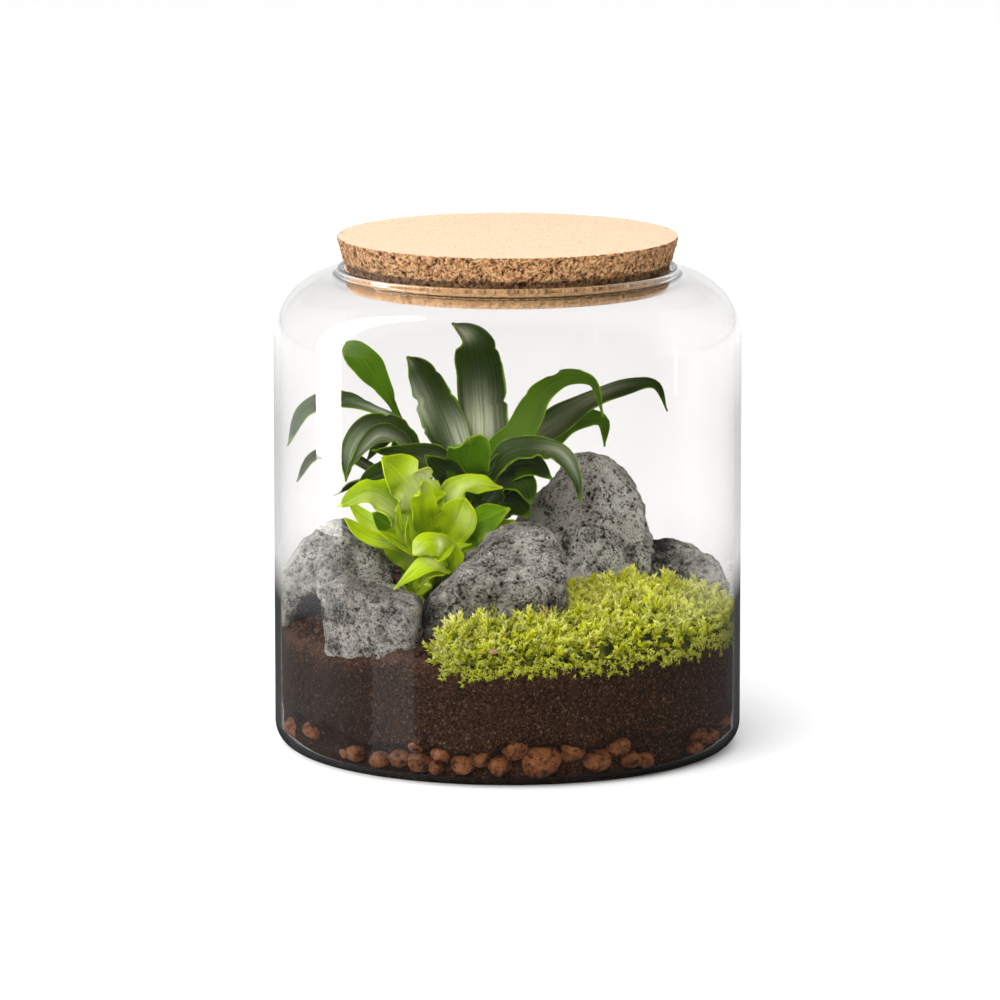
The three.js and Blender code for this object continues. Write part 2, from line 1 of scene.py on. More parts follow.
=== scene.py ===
"""Glass jar terrarium in detail: blown glass, cork lid, clay pebbles, soil, lava stones, moss and dracaena.

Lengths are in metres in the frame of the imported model: +Z up, the front at -Y, and the origin in the
middle of the jar's flat bottom. Azimuths and elevations are in degrees; azimuth 0 is +X and -90 the front.
"""
import logging
import math
from collections.abc import Callable, Iterator
from contextlib import contextmanager
from dataclasses import dataclass
from enum import Enum

import bpy
import numpy as np
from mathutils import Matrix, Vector


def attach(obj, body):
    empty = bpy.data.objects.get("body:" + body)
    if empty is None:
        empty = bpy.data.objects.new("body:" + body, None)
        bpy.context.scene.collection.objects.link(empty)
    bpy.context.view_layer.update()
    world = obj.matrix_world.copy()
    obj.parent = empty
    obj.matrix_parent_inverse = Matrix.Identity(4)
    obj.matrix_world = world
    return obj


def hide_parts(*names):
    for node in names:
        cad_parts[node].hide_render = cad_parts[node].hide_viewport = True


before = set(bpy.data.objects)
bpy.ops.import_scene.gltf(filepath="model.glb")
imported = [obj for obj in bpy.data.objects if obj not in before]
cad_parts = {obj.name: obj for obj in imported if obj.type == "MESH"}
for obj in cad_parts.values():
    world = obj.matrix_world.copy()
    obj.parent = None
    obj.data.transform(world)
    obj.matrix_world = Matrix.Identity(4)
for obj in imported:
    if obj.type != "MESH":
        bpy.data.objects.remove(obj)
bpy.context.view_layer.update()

LOG = logging.getLogger("terrarium")

Piece = bpy.types.Object
Socket = bpy.types.NodeSocket
Array = np.ndarray
Point = tuple[float, float, float]
Colour = tuple[float, float, float]
Pair = tuple[float, float]
Stops = list[tuple[float, Colour]]

JAR_RADIUS = 0.1
JAR_WALL = 0.0024
FILL_RADIUS = JAR_RADIUS - JAR_WALL - 0.0004
NEAR_GLASS = JAR_RADIUS - JAR_WALL - 0.0002


# Numbers for shapes

def direction(azimuth: float, elevation: float) -> Array:
    """Give the unit vector of an azimuth and an elevation in degrees."""
    a, e = math.radians(azimuth), math.radians(elevation)
    return np.array((math.cos(e) * math.cos(a), math.cos(e) * math.sin(a), math.sin(e)))


def smooth(low: float, high: float, value: Array) -> Array:
    """Rise smoothly from 0 to 1 as a value goes from low to high, or fall if low is above high."""
    share = np.clip((value - low) / (high - low), 0, 1)
    return share * share * (3 - 2 * share)


def random_of_cell(cell: Array, seed: int) -> Array:
    """Give a repeatable number from 0 to 1 for each whole-number cell.

    Args:
        cell: whole numbers, three in the last axis.
        seed: which of the many sets of numbers to use.

    Returns:
        One number for each cell.
    """
    mixed = cell[..., 0] * 73856093 ^ cell[..., 1] * 19349663 ^ cell[..., 2] * 83492791 ^ seed * 2654435761
    mixed = (mixed & 0xFFFFFFFF) * 1274126177
    mixed = (mixed ^ (mixed >> 15)) & 0xFFFFFFFF
    mixed = (mixed * 2246822519) & 0xFFFFFFFF
    return (mixed ^ (mixed >> 13)) % 65536 / 65535


def value_noise(points: Array, size: float, seed: int) -> Array:
    """Give smooth noise from -1 to 1 whose lumps are about one size across.

    Args:
        points: places, three coordinates in the last axis.
        size: the size of a lump.
        seed: which noise.

    Returns:
        One number for each place.
    """
    scaled = points / size
    base = np.floor(scaled).astype(np.int64)
    share = scaled - base
    share = share * share * (3 - 2 * share)
    total = np.zeros(points.shape[:-1])
    for corner in np.ndindex(2, 2, 2):
        weight = np.prod(np.where(np.array(corner), share, 1 - share), axis=-1)
        total += weight * random_of_cell(base + np.array(corner), seed)
    return total * 2 - 1


def fractal(points: Array, size: float, octaves: int, seed: int) -> Array:
    """Add octaves of smooth noise, each of half the size and half the height of the one before."""
    layers = [value_noise(points + k, size / 2 ** k, seed + k) / 2 ** k for k in range(octaves)]
    return sum(layers)


def cells(points: Array, size: float, seed: int) -> tuple[Array, Array]:
    """Find how far each place is from the nearest of many scattered spots.

    Args:
        points: places, three coordinates in the last axis.
        size: the usual distance between two spots.
        seed: which spots.

    Returns:
        The distance as a share of size, and a number from 0 to 1 that belongs to the nearest spot.
    """
    scaled = points / size
    base = np.floor(scaled).astype(np.int64)
    nearest = np.full(points.shape[:-1], 9.0)
    own = np.zeros(points.shape[:-1])
    for step in np.ndindex(3, 3, 3):
        cell = base + np.array(step) - 1
        spot = cell + np.stack([random_of_cell(cell, seed + k) for k in range(3)], axis=-1)
        distance = np.linalg.norm(scaled - spot, axis=-1)
        closer = distance < nearest
        nearest = np.where(closer, distance, nearest)
        own = np.where(closer, random_of_cell(cell, seed + 3), own)
    return nearest, own


def pits(points: Array, size: float, share: float, seed: int) -> Array:
    """Give 1 in the middle of round pits, falling to 0 at their rims.

    Args:
        points: places on a surface.
        size: the usual distance between pits.
        share: how many of the places where a pit could be have one, from 0 to 1.
        seed: which pits.

    Returns:
        How deep each place lies in a pit, from 0 to 1.
    """
    distance, own = cells(points, size, seed)
    radius = np.where(own < share, 0.3 + 0.25 * own / share, 1e-6)
    return smooth(1, 0.35, distance / radius)


class Curve:
    """A smooth line through points: a centripetal Catmull-Rom spline."""

    def __init__(self, points: list[Point]) -> None:
        """Keep the points, and one more beyond each end."""
        inner = np.array(points, float)
        self.knots = np.vstack([2 * inner[0] - inner[1], inner, 2 * inner[-1] - inner[-2]])

    def point(self, share: Array) -> Array:
        """Give points of the line.

        Args:
            share: how far along, from 0 to 1, where each stretch between two points counts the same.

        Returns:
            One point for each share.
        """
        stretches = len(self.knots) - 3
        way = np.clip(np.asarray(share, float), 0, 1) * stretches
        index = np.minimum(way.astype(int), stretches - 1)
        w = (way - index)[..., None]
        p0, p1, p2, p3 = (self.knots[index + k] for k in range(4))
        d0, d1, d2 = (np.maximum(np.linalg.norm(b - a, axis=-1, keepdims=True) ** 0.5, 1e-6)
                      for a, b in ((p0, p1), (p1, p2), (p2, p3)))
        t1 = ((p1 - p0) / d0 - (p2 - p0) / (d0 + d1) + (p2 - p1) / d1) * d1
        t2 = ((p2 - p1) / d1 - (p3 - p1) / (d1 + d2) + (p3 - p2) / d2) * d1
        c2 = -3 * p1 + 3 * p2 - 2 * t1 - t2
        c3 = 2 * p1 - 2 * p2 + t1 + t2
        return p1 + t1 * w + c2 * w ** 2 + c3 * w ** 3

    def along(self, share: Array) -> tuple[Array, Array]:
        """Give points and tangents at shares of the line's real length.

        Args:
            share: how far along, from 0 to 1.

        Returns:
            The points, and the unit tangents there.
        """
        fine = np.linspace(0, 1, 401)
        line = self.point(fine)
        length = np.concatenate([[0], np.cumsum(np.linalg.norm(np.diff(line, axis=0), axis=1))])
        at = np.interp(np.asarray(share) * length[-1], length, fine)
        step = 1e-3
        tangent = self.point(np.minimum(at + step, 1)) - self.point(np.maximum(at - step, 0))
        return self.point(at), tangent / np.linalg.norm(tangent, axis=-1, keepdims=True)


class Draw:
    """Seeded random numbers from 0 to 1, drawn one after another as the solids' source draws them."""

    def __init__(self, seed: int) -> None:
        """Start at a seed."""
        self.state = seed

    def __call__(self) -> float:
        """Draw the next number."""
        self.state = (self.state * 1664525 + 1013904223) % 4294967296
        return self.state / 4294967296


# Work on meshes

def deselect_all() -> None:
    """Leave no object selected."""
    bpy.ops.object.select_all(action="DESELECT")


def take(piece: Piece) -> None:
    """Make a piece the only selected object and the active one.

    Args:
        piece: The piece to select.
    """
    deselect_all()
    piece.select_set(True)
    bpy.context.view_layer.objects.active = piece


def named(name: str) -> Piece:
    """Name the piece that was just added, put its place in its mesh and return it.

    Args:
        name: Its name, also that of its mesh.

    Returns:
        The piece.
    """
    piece = bpy.context.object
    piece.name = name
    piece.data.name = name
    take(piece)
    bpy.ops.object.transform_apply(location=True, rotation=True, scale=True)
    return piece


def added(primitive: Callable[..., object], name: str, **settings: object) -> Piece:
    """Add a primitive at its size and place, and nothing else selected, as the piece of that name.

    Args:
        primitive: The operator that adds it.
        name: The piece's name.
        settings: What the operator takes.

    Returns:
        The piece.
    """
    deselect_all()
    primitive(**settings)
    return named(name)


@contextmanager
def edited() -> Iterator[None]:
    """Open the active piece in edit mode, all of it selected, and close it again.

    Returns:
        Nothing that is used; the edits go in its block.
    """
    bpy.ops.object.mode_set(mode="EDIT")
    bpy.ops.mesh.select_all(action="SELECT")
    yield
    bpy.ops.object.mode_set(mode="OBJECT")


def apply_modifier(piece: Piece, kind: str, **settings: object) -> None:
    """Give a piece a modifier and apply it.

    Args:
        piece: the piece.
        kind: the modifier's type, such as SOLIDIFY.
        settings: the modifier's own settings.
    """
    take(piece)
    modifier = piece.modifiers.new(kind.lower(), kind)
    for key, value in settings.items():
        setattr(modifier, key, value)
    bpy.ops.object.modifier_apply(modifier=modifier.name)


def joined(pieces: list[Piece], name: str) -> Piece:
    """Join pieces into one object of that name.

    Args:
        pieces: What to join.
        name: The name of the whole.

    Returns:
        The whole.
    """
    take(pieces[0])
    for piece in pieces:
        piece.select_set(True)
    if len(pieces) > 1:
        bpy.ops.object.join()
    return named(name)


def places_of(piece: Piece, what: str = "co") -> Array:
    """Give the places of a piece's vertices, or their outward directions where what is normal.

    Args:
        piece: The piece to read.
        what: What to read, "co" or "normal".

    Returns:
        A row of three for each vertex.
    """
    flat = np.empty(len(piece.data.vertices) * 3)
    piece.data.vertices.foreach_get(what, flat)
    return flat.reshape(-1, 3)


def reach_of(points: Array) -> Array:
    """Give how far places are from the jar's axis."""
    return np.linalg.norm(points[:, :2], axis=1)


def pull_in(points: Array, amount: Array) -> None:
    """Move places towards the jar's axis by an amount each."""
    points[:, :2] *= (1 - amount / np.maximum(reach_of(points), 1e-6))[:, None]


def move_to(piece: Piece, points: Array) -> None:
    """Put the vertices of a piece at new places."""
    piece.data.vertices.foreach_set("co", points.astype(np.float32).ravel())
    piece.data.update()


def mark(piece: Piece, name: str, values: Array) -> None:
    """Store a number on each vertex of a piece, for its finish to read."""
    attribute = piece.data.attributes.new(name, "FLOAT", "POINT")
    attribute.data.foreach_set("value", values.astype(np.float32).ravel())


def kept_in_jar(points: Array) -> Array:
    """Pull points that lie beyond the inside of the glass back to it.

    Args:
        points: Places, in metres.

    Returns:
        The places inside the glass.
    """
    reach = np.linalg.norm(points[..., :2], axis=-1, keepdims=True)
    inside = np.minimum(1, NEAR_GLASS / np.maximum(reach, 1e-9))
    return np.concatenate([points[..., :2] * inside, points[..., 2:]], axis=-1)


def chipped(points: Array, count: int, least: float, seed: int) -> Array:
    """Cut flat chips off a lump.

    Args:
        points: its surface, counted from its middle.
        count: how many chips.
        least: how much of its reach the deepest cut leaves.
        seed: where the chips are.

    Returns:
        The surface with the chips cut off.
    """
    draw = Draw(seed)
    for _ in range(count):
        way = direction(360 * draw(), math.degrees(math.asin(1.9 * draw() - 0.95)))
        ahead = points @ way
        limit = float(ahead.max()) * (least + (0.99 - least) * draw())
        points = points * np.where(ahead > limit, limit / np.maximum(ahead, 1e-9), 1)[:, None]
    return points


def kept_in_fill(points: Array, bottom: float, corner: float) -> Array:
    """Pull points back to the inside of the glass: its floor, its rounded corner and its wall.

    Args:
        points: places.
        bottom: the height of the floor.
        corner: the radius of the corner between floor and wall.

    Returns:
        The places, moved where they lay beyond it.
    """
    height = np.maximum(points[:, 2], bottom)
    rise = np.clip(corner - (height - bottom), 0, corner)
    limit = FILL_RADIUS - corner + np.sqrt(corner ** 2 - rise ** 2)
    inside = np.minimum(1, limit / np.maximum(reach_of(points), 1e-9))
    return np.column_stack([points[:, :2] * inside[:, None], height])


def smooth_shaded(piece: Piece, angle: float = 180) -> None:
    """Shade a piece smoothly, except across edges sharper than an angle in degrees.

    Args:
        piece: The piece.
        angle: The sharpest edge to smooth.
    """
    take(piece)
    if angle >= 180:
        bpy.ops.object.shade_smooth()
    else:
        bpy.ops.object.shade_smooth_by_angle(angle=math.radians(angle))


def install(piece: Piece, slot: str, *nodes: str) -> None:
    """Put a finished piece on the object and report it.

    Args:
        piece: the piece.
        slot: not used.
        nodes: the plain solids that it stands for.
    """
    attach(piece, "root")
    if nodes:
        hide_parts(*nodes)
    triangles = sum(len(face.vertices) - 2 for face in piece.data.polygons)
    LOG.info("%s: %d triangles", piece.name, triangles)


def turned(name: str, profile: list[Pair], segments: int) -> Piece:
    """Draw a solid of revolution up from its bottom disc, ring by ring.

    Args:
        name: the piece's name.
        profile: radius and height of each ring, from the rim of the bottom disc to the last disc. A last
            radius of 0 closes the solid in a point.
        segments: how many sides each ring has.

    Returns:
        The closed solid.
    """
    deselect_all()
    radius, height = profile[0]
    bpy.ops.mesh.primitive_circle_add(
        vertices=segments, radius=radius, fill_type="NGON", location=(0, 0, height))
    with edited():
        for next_radius, next_height in profile[1:]:
            bpy.ops.mesh.extrude_region_move(
                TRANSFORM_OT_translate={"value": (0, 0, next_height - height)})
            grow = next_radius / radius
            bpy.ops.transform.resize(value=(grow, grow, 1), center_override=(0, 0, next_height))
            radius, height = next_radius, next_height
        bpy.ops.mesh.select_all(action="SELECT")
        bpy.ops.mesh.remove_doubles(threshold=1e-6)
        bpy.ops.mesh.normals_make_consistent(inside=False)
    return named(name)


def arc(centre: Pair, radius: float, start: float, end: float,
        steps: int) -> list[Pair]:
    """Give the points of an arc in a profile, its angles counted from outwards towards up."""
    angles = np.radians(np.linspace(start, end, steps + 1))
    return [(centre[0] + radius * math.cos(a), centre[1] + radius * math.sin(a)) for a in angles]


def turned_matrices(tilt: Array, heading: Array, spin: Array, size: Array) -> Array:
    """Give the matrices that size copies, spin them on their axes and then lean them.

    Args:
        tilt: how far each copy leans, in radians.
        heading: the azimuth that it leans to, in radians.
        spin: how far it is turned on its own axis, in radians.
        size: its size, one number or one for each axis.

    Returns:
        One 3 by 3 matrix for each copy.
    """
    def about_z(angle: Array) -> Array:
        """Give the matrices that turn by angles about the upright."""
        c, s, o = np.cos(angle), np.sin(angle), np.zeros_like(angle)
        return np.stack([np.stack([c, -s, o], -1), np.stack([s, c, o], -1),
                         np.stack([o, o, o + 1], -1)], -2)
    c, s, o = np.cos(tilt), np.sin(tilt), np.zeros_like(tilt)
    lean = np.stack([np.stack([c, o, s], -1), np.stack([o, o + 1, o], -1),
                     np.stack([-s, o, c], -1)], -2)
    return about_z(heading) @ lean @ about_z(spin - heading) * size.reshape(len(size), 1, -1)


def strew(model: Piece, name: str, matrices: Array, spots: Array, marks: dict[str, Array],
          finish: "Finish", slot: str) -> Piece:
    """Copy a small model to many places, each copy with its own mesh, all in one finished piece.

    Args:
        model: the model, made of triangles; it is used up.
        name: the name of the piece that holds the copies.
        matrices: the turn and size of each copy, 3 by 3.
        spots: where each copy goes.
        marks: for each number that the finish reads, one value a copy, or one a copy and vertex.
        finish: the piece's finish.
        slot: its material slot.

    Returns:
        The piece.
    """
    points = places_of(model)
    faces = np.array([tuple(face.vertices) for face in model.data.polygons])
    count = len(spots)
    placed = np.einsum("nij,mj->nmi", matrices, points) + spots[:, None, :]
    corners = (faces[None] + (np.arange(count) * len(points))[:, None, None]).ravel()
    mesh = bpy.data.meshes.new(name)
    mesh.vertices.add(count * len(points))
    mesh.loops.add(len(corners))
    mesh.loops.foreach_set("vertex_index", corners.astype(np.int32))
    mesh.polygons.add(len(corners) // 3)
    mesh.polygons.foreach_set("loop_start", np.arange(0, len(corners), 3, dtype=np.int32))
    piece = bpy.data.objects.new(name, mesh)
    bpy.context.scene.collection.objects.link(piece)
    move_to(piece, kept_in_jar(placed.reshape(-1, 3)))
    mesh.update(calc_edges=True)
    for key, values in marks.items():
        filled = values[:, None] if values.ndim == 1 else values
        mark(piece, key, np.broadcast_to(filled, (count, len(points))))
    bpy.data.objects.remove(model)
    dress(piece, finish)
    install(piece, slot)
    return piece


# Finishes

class Bench:
    """A node tree that nodes are added to."""

    def __init__(self, tree: bpy.types.NodeTree) -> None:
        """Keep the tree's nodes and links."""
        self.nodes, self.links = tree.nodes, tree.links

    def node(self, kind: str, inputs: dict[str | int, object] | None = None,
             **settings: object) -> bpy.types.Node:
        """Add a node.

        Args:
            kind: the node's type without its prefix.
            inputs: what goes in each socket, a value or another node's output.
            settings: the node's own settings.

        Returns:
            The node.
        """
        made = self.nodes.new("ShaderNode" + kind)
        for key, value in settings.items():
            setattr(made, key, value)
        for key, value in (inputs or {}).items():
            if isinstance(value, Socket):
                self.links.new(value, made.inputs[key])
            else:
                made.inputs[key].default_value = value
        return made


class Shader(Bench):
    """A material that is built from noise, ramps and bumps into its Principled shader."""

    def __init__(self, name: str, **constants: object) -> None:
        """Make the material and set what is the same all over it on the shader's own sockets.

        Args:
            name: The material's name.
            constants: Values by socket, with _ for each space.
        """
        self.material = bpy.data.materials.new(name)
        self.material.use_nodes = True
        super().__init__(self.material.node_tree)
        self.body = self.nodes["Principled BSDF"]
        self.place = self.node("TexCoord").outputs["Object"]
        self.tones: Socket | None = None
        for key, value in constants.items():
            self.body.inputs[key.replace("_", " ")].default_value = value

    def stretched(self, scale: Point,
                  source: Socket | None = None) -> Socket:
        """Stretch the coordinates that a pattern is laid on."""
        return self.node("Mapping", {"Vector": source or self.place, "Scale": scale}).outputs[0]

    def warped(self, size: float, amount: float) -> Socket:
        """Shift the coordinates a little, this way and that, so that patterns lose their regular look.

        Args:
            size: How far apart the shifts differ, in metres.
            amount: How far they go, in metres.

        Returns:
            The shifted coordinates.
        """
        shift = self.node("TexNoise", {"Vector": self.place, "Scale": 1 / size, "Detail": 2.0})
        centred = self.node("VectorMath", {0: shift.outputs["Color"], 1: (0.5, 0.5, 0.5)},
                            operation="SUBTRACT").outputs[0]
        scaled = self.node("VectorMath", {0: centred, "Scale": amount}, operation="SCALE").outputs[0]
        return self.node("VectorMath", {0: self.place, 1: scaled}, operation="ADD").outputs[0]

    def noise(self, size: float, detail: float = 3, roughness: float = 0.55,
              vector: Socket | None = None, distortion: float = 0) -> Socket:
        """Lay noise with lumps of about one size."""
        return self.node("TexNoise", {
            "Vector": vector or self.place, "Scale": 1 / size, "Detail": detail, "Roughness": roughness,
            "Distortion": distortion}).outputs["Fac"]

    def cells(self, size: float, output: str = "Distance",
              vector: Socket | None = None) -> Socket:
        """Lay cells of about one size: the distance to each one's middle, or its own colour."""
        return self.node("TexVoronoi", {"Vector": vector or self.place, "Scale": 1 / size}).outputs[output]

    def cell_tone(self, size: float, vector: Socket) -> Socket:
        """Lay cells of about one size, each with its own number."""
        return self.node("SeparateColor", {0: self.cells(size, "Color", vector)}).outputs[0]

    def stored(self, name: str) -> Socket:
        """Read a number that the mesh stores on its vertices."""
        return self.node("Attribute", attribute_name=name).outputs["Fac"]

    def ramp(self, value: Socket, stops: Stops) -> Socket:
        """Turn a number into a colour that runs through stops.

        Args:
            value: The number, from 0 to 1.
            stops: Numbers with their colours.

        Returns:
            The colour.
        """
        made = self.node("ValToRGB", {"Fac": value})
        elements = made.color_ramp.elements
        while len(elements) < len(stops):
            elements.new(0.5)
        for element, (position, colour) in zip(elements, stops):
            element.position = position
            element.color = (*colour, 1)
        return made.outputs["Color"]

    def spread(self, value: Socket, low: float, high: float, to_low: float = 0,
               to_high: float = 1) -> Socket:
        """Stretch a number from one range to another, and keep it there."""
        return self.node("MapRange", {"Value": value, "From Min": low, "From Max": high,
                                      "To Min": to_low, "To Max": to_high}).outputs[0]

    def math(self, operation: str, a: object, b: object = 0.0) -> Socket:
        """Work out a number from two others."""
        return self.node("Math", {0: a, 1: b}, operation=operation).outputs[0]

    def times(self, a: object, b: object) -> Socket:
        """Multiply two numbers."""
        return self.math("MULTIPLY", a, b)

    def less(self, a: object) -> Socket:
        """Give what a number leaves of 1."""
        return self.math("SUBTRACT", 1.0, a)

    def mix(self, share: object, a: object, b: object, blend: str = "MIX") -> Socket:
        """Mix two colours."""
        a, b = ((*colour, 1) if isinstance(colour, tuple) else colour for colour in (a, b))
        return self.node("Mix", {0: share, 6: a, 7: b}, data_type="RGBA", blend_type=blend).outputs[2]

    def over(self, share: object, colour: object, blend: str = "MIX") -> None:
        """Lay a share of a colour over the tones that the shader has so far."""
        self.tones = self.mix(share, self.tones, colour, blend)

    def done(self) -> bpy.types.Material:
        """Give the shader its tones and return the material."""
        self.links.new(self.tones, self.body.inputs["Base Color"])
        return self.material

    def roughness(self, socket: Socket) -> None:
        """Give the shader its roughness."""
        self.links.new(socket, self.body.inputs["Roughness"])

    def bump(self, *layers: tuple[Socket, float]) -> None:
        """Raise the surface by layers, each a height from 0 to 1 and how high 1 is.

        Args:
            layers: The layers, with 1 in metres.
        """
        normal = None
        for height, distance in layers:
            inputs = {"Height": height, "Distance": distance, "Strength": 1.0}
            if normal:
                inputs["Normal"] = normal
            normal = self.node("Bump", inputs).outputs[0]
        self.links.new(normal, self.body.inputs["Normal"])


@dataclass(frozen=True)
class ClearGlass:
    """Clear blown glass that lets lamps through."""

    name: str = "clear_glass"
    tint: Colour = (0.968, 0.957, 0.950)
    shade: Colour = (0.95, 0.96, 0.955)

    def material(self) -> bpy.types.Material:
        """Build the material.

        Returns:
            The material.
        """
        shader = Shader(self.name, Roughness=0.0, IOR=1.45, Transmission_Weight=1.0,
                        Base_Color=(*self.tint, 1))
        clear = shader.node("BsdfTransparent", {"Color": (*self.shade, 1)})
        ray = shader.node("LightPath").outputs["Is Shadow Ray"]
        mixed = shader.node("MixShader", {0: ray, 1: shader.body.outputs[0], 2: clear.outputs[0]})
        shader.links.new(mixed.outputs[0], shader.nodes["Material Output"].inputs["Surface"])
        return shader.material


@dataclass(frozen=True)
class CorkFace:
    """The cork's fine pressed face, with pinholes and a few dark dashes."""

    name: str = "cork_face"
    pale: Colour = (0.76, 0.575, 0.40)
    mid: Colour = (0.62, 0.40, 0.23)
    dark: Colour = (0.22, 0.09, 0.03)
    grain: float = 0.0011
    blot: float = 0.0028
    pinhole: float = 0.0019
    dash: float = 0.002

    def material(self) -> bpy.types.Material:
        """Build the material.

        Returns:
            The material.
        """
        shader = Shader(self.name, Roughness=0.85, Specular_IOR_Level=0.25)
        grain = shader.noise(self.grain, 4, 0.7)
        shader.tones = shader.ramp(grain, [(0.3, self.mid), (0.5, self.pale), (0.75, self.pale)])
        shader.over(0.07, shader.cells(self.blot, "Color"), "MULTIPLY")
        some = shader.spread(shader.noise(0.004, 2, 0.5), 0.45, 0.54)
        pins = shader.times(shader.spread(shader.cells(self.pinhole), 0.27, 0.13), some)
        shader.over(shader.times(pins, 0.75), self.dark)
        dashes = shader.noise(self.dash, 1, 0.4, shader.stretched((0.3, 1.3, 1)))
        rare = shader.spread(shader.noise(0.016, 2, 0.5), 0.58, 0.62)
        dashes = shader.times(shader.spread(dashes, 0.72, 0.78), rare)
        shader.over(shader.times(dashes, 0.6), self.dark)
        shader.bump((grain, 0.0001))
        return shader.done()


@dataclass(frozen=True)
class CorkEdge:
    """The cork's coarse cut edge: granules, cracks, painted shade in pits, and a painted shadow line where
    the rim presses in, with painted light below it.
    """

    name: str = "cork_edge"
    pale: Colour = (0.80, 0.46, 0.22)
    mid: Colour = (0.42, 0.19, 0.07)
    dark: Colour = (0.085, 0.033, 0.012)
    shadow: Colour = (0.030, 0.012, 0.006)
    # Painted light for the edge below the rim, inside the glass.
    painted_light: Colour = (1.0, 0.60, 0.30)
    grain: float = 0.0016
    granule: float = 0.0013
    crack: float = 0.0026

    def material(self) -> bpy.types.Material:
        """Build the material.

        Returns:
            The material.
        """
        shader = Shader(self.name, Roughness=0.85, Specular_IOR_Level=0.25)
        grain = shader.noise(self.grain, 4, 0.7)
        loose = shader.warped(0.0022, 0.0030)
        gap = shader.spread(shader.cells(self.granule, "Distance", loose), 0.44, 0.70, 0, 0.9)
        granules = shader.cell_tone(self.granule, loose)
        shader.tones = shader.ramp(granules, [(0.1, self.mid), (0.45, self.pale), (0.9, self.pale)])
        shader.over(shader.spread(grain, 0.62, 0.38, 0, 0.55), self.mid)
        cracks = shader.times(gap, shader.spread(shader.noise(self.crack, 3, 0.7), 0.40, 0.60))
        shader.over(cracks, self.dark)
        # Painted shade in the pits; the granules' tone differs at random.
        shader.over(shader.spread(shader.stored("relief_shade"), 0.1, 0.75, 1, 0), self.dark)
        # Painted light on the edge below the rim, inside the glass.
        shader.over(shader.times(shader.stored("lift"), 0.85), self.painted_light)
        # Painted shadow line where the cork meets the rim.
        shader.over(shader.stored("band"), self.shadow)
        shader.bump((grain, 0.0009), (shader.less(cracks), 0.0007))
        return shader.done()


@dataclass(frozen=True)
class PottingSoil:
    """Dark crumbly soil with fine light specks and fibres."""

    name: str = "potting_soil"
    dark: Colour = (0.008, 0.004, 0.002)
    mid: Colour = (0.040, 0.018, 0.009)
    warm: Colour = (0.105, 0.048, 0.024)
    pale: Colour = (0.36, 0.20, 0.115)
    speck: Colour = (0.44, 0.27, 0.17)
    rust: Colour = (0.25, 0.13, 0.078)
    # Colour of the painted shade at the lower left front.
    painted_left_shade: Colour = (0.010, 0.004, 0.002)
    grain: float = 0.0011
    crumb: float = 0.0010
    fibre: float = 0.0011
    patch: float = 0.009

    def material(self) -> bpy.types.Material:
        """Build the material.

        Returns:
            The material.
        """
        shader = Shader(self.name, Roughness=0.95, Specular_IOR_Level=0.12)
        grain = shader.noise(self.grain, 5, 0.9)
        shader.tones = shader.ramp(grain, [(0.42, self.dark), (0.48, self.mid), (0.56, self.warm),
                                           (0.66, self.pale)])
        patches = shader.spread(shader.noise(self.patch, 3, 0.6), 0.48, 0.66, 0, 0.35)
        shader.over(patches, self.warm)
        loose = shader.warped(0.0009, 0.0014)
        crumb = shader.cell_tone(self.crumb, loose)
        middle = shader.spread(shader.cells(self.crumb, "Distance", loose), 0.55, 0.25)
        holes = shader.times(shader.spread(crumb, 0.45, 0.1, 0, 0.9), middle)
        shader.over(holes, self.dark)
        specks = shader.times(shader.spread(crumb, 0.88, 1.0, 0, 0.7), middle)
        shader.over(specks, self.speck)
        fibres = shader.noise(self.fibre, 1, 0.4, shader.stretched((1, 1, 0.28)), 1.5)
        shader.over(shader.spread(fibres, 0.72, 0.78, 0, 0.55), self.speck)
        # Painted shade: darker at the lower left front.
        shader.over(shader.stored("painted_left_shade"), self.painted_left_shade)
        loamy = shader.times(shader.stored("tone"), shader.spread(grain, 0.40, 0.60, 0.25, 1))
        shader.over(loamy, self.rust)
        shader.bump((grain, 0.0011), (shader.noise(0.0005, 2, 0.6), 0.0003))
        return shader.done()


@dataclass(frozen=True)
class BakedClay:
    """Matt expanded clay, dusty with dark earth."""

    name: str = "baked_clay"
    pale: Colour = (0.46, 0.185, 0.075)
    mid: Colour = (0.30, 0.105, 0.036)
    dark: Colour = (0.035, 0.013, 0.006)
    patch: float = 0.004
    pock: float = 0.0014
    earth: float = 0.0032

    def material(self) -> bpy.types.Material:
        """Build the material.

        Returns:
            The material.
        """
        shader = Shader(self.name, Roughness=0.85, Specular_IOR_Level=0.3)
        patches = shader.noise(self.patch, 4, 0.65)
        shader.tones = shader.ramp(patches, [(0.34, self.dark), (0.46, self.mid), (0.72, self.pale)])
        pocks = shader.spread(shader.cells(self.pock, "Distance", shader.warped(0.002, 0.0015)), 0.28, 0.16)
        shader.over(shader.times(pocks, 0.8), self.dark)
        earth = shader.spread(shader.noise(self.earth, 4, 0.75), 0.56, 0.62, 0, 0.9)
        shader.over(earth, self.dark)
        shader.over(shader.stored("tone"), self.dark)
        shader.bump((shader.noise(0.0011, 3, 0.6), 0.0007), (shader.less(pocks), 0.0004))
        return shader.done()


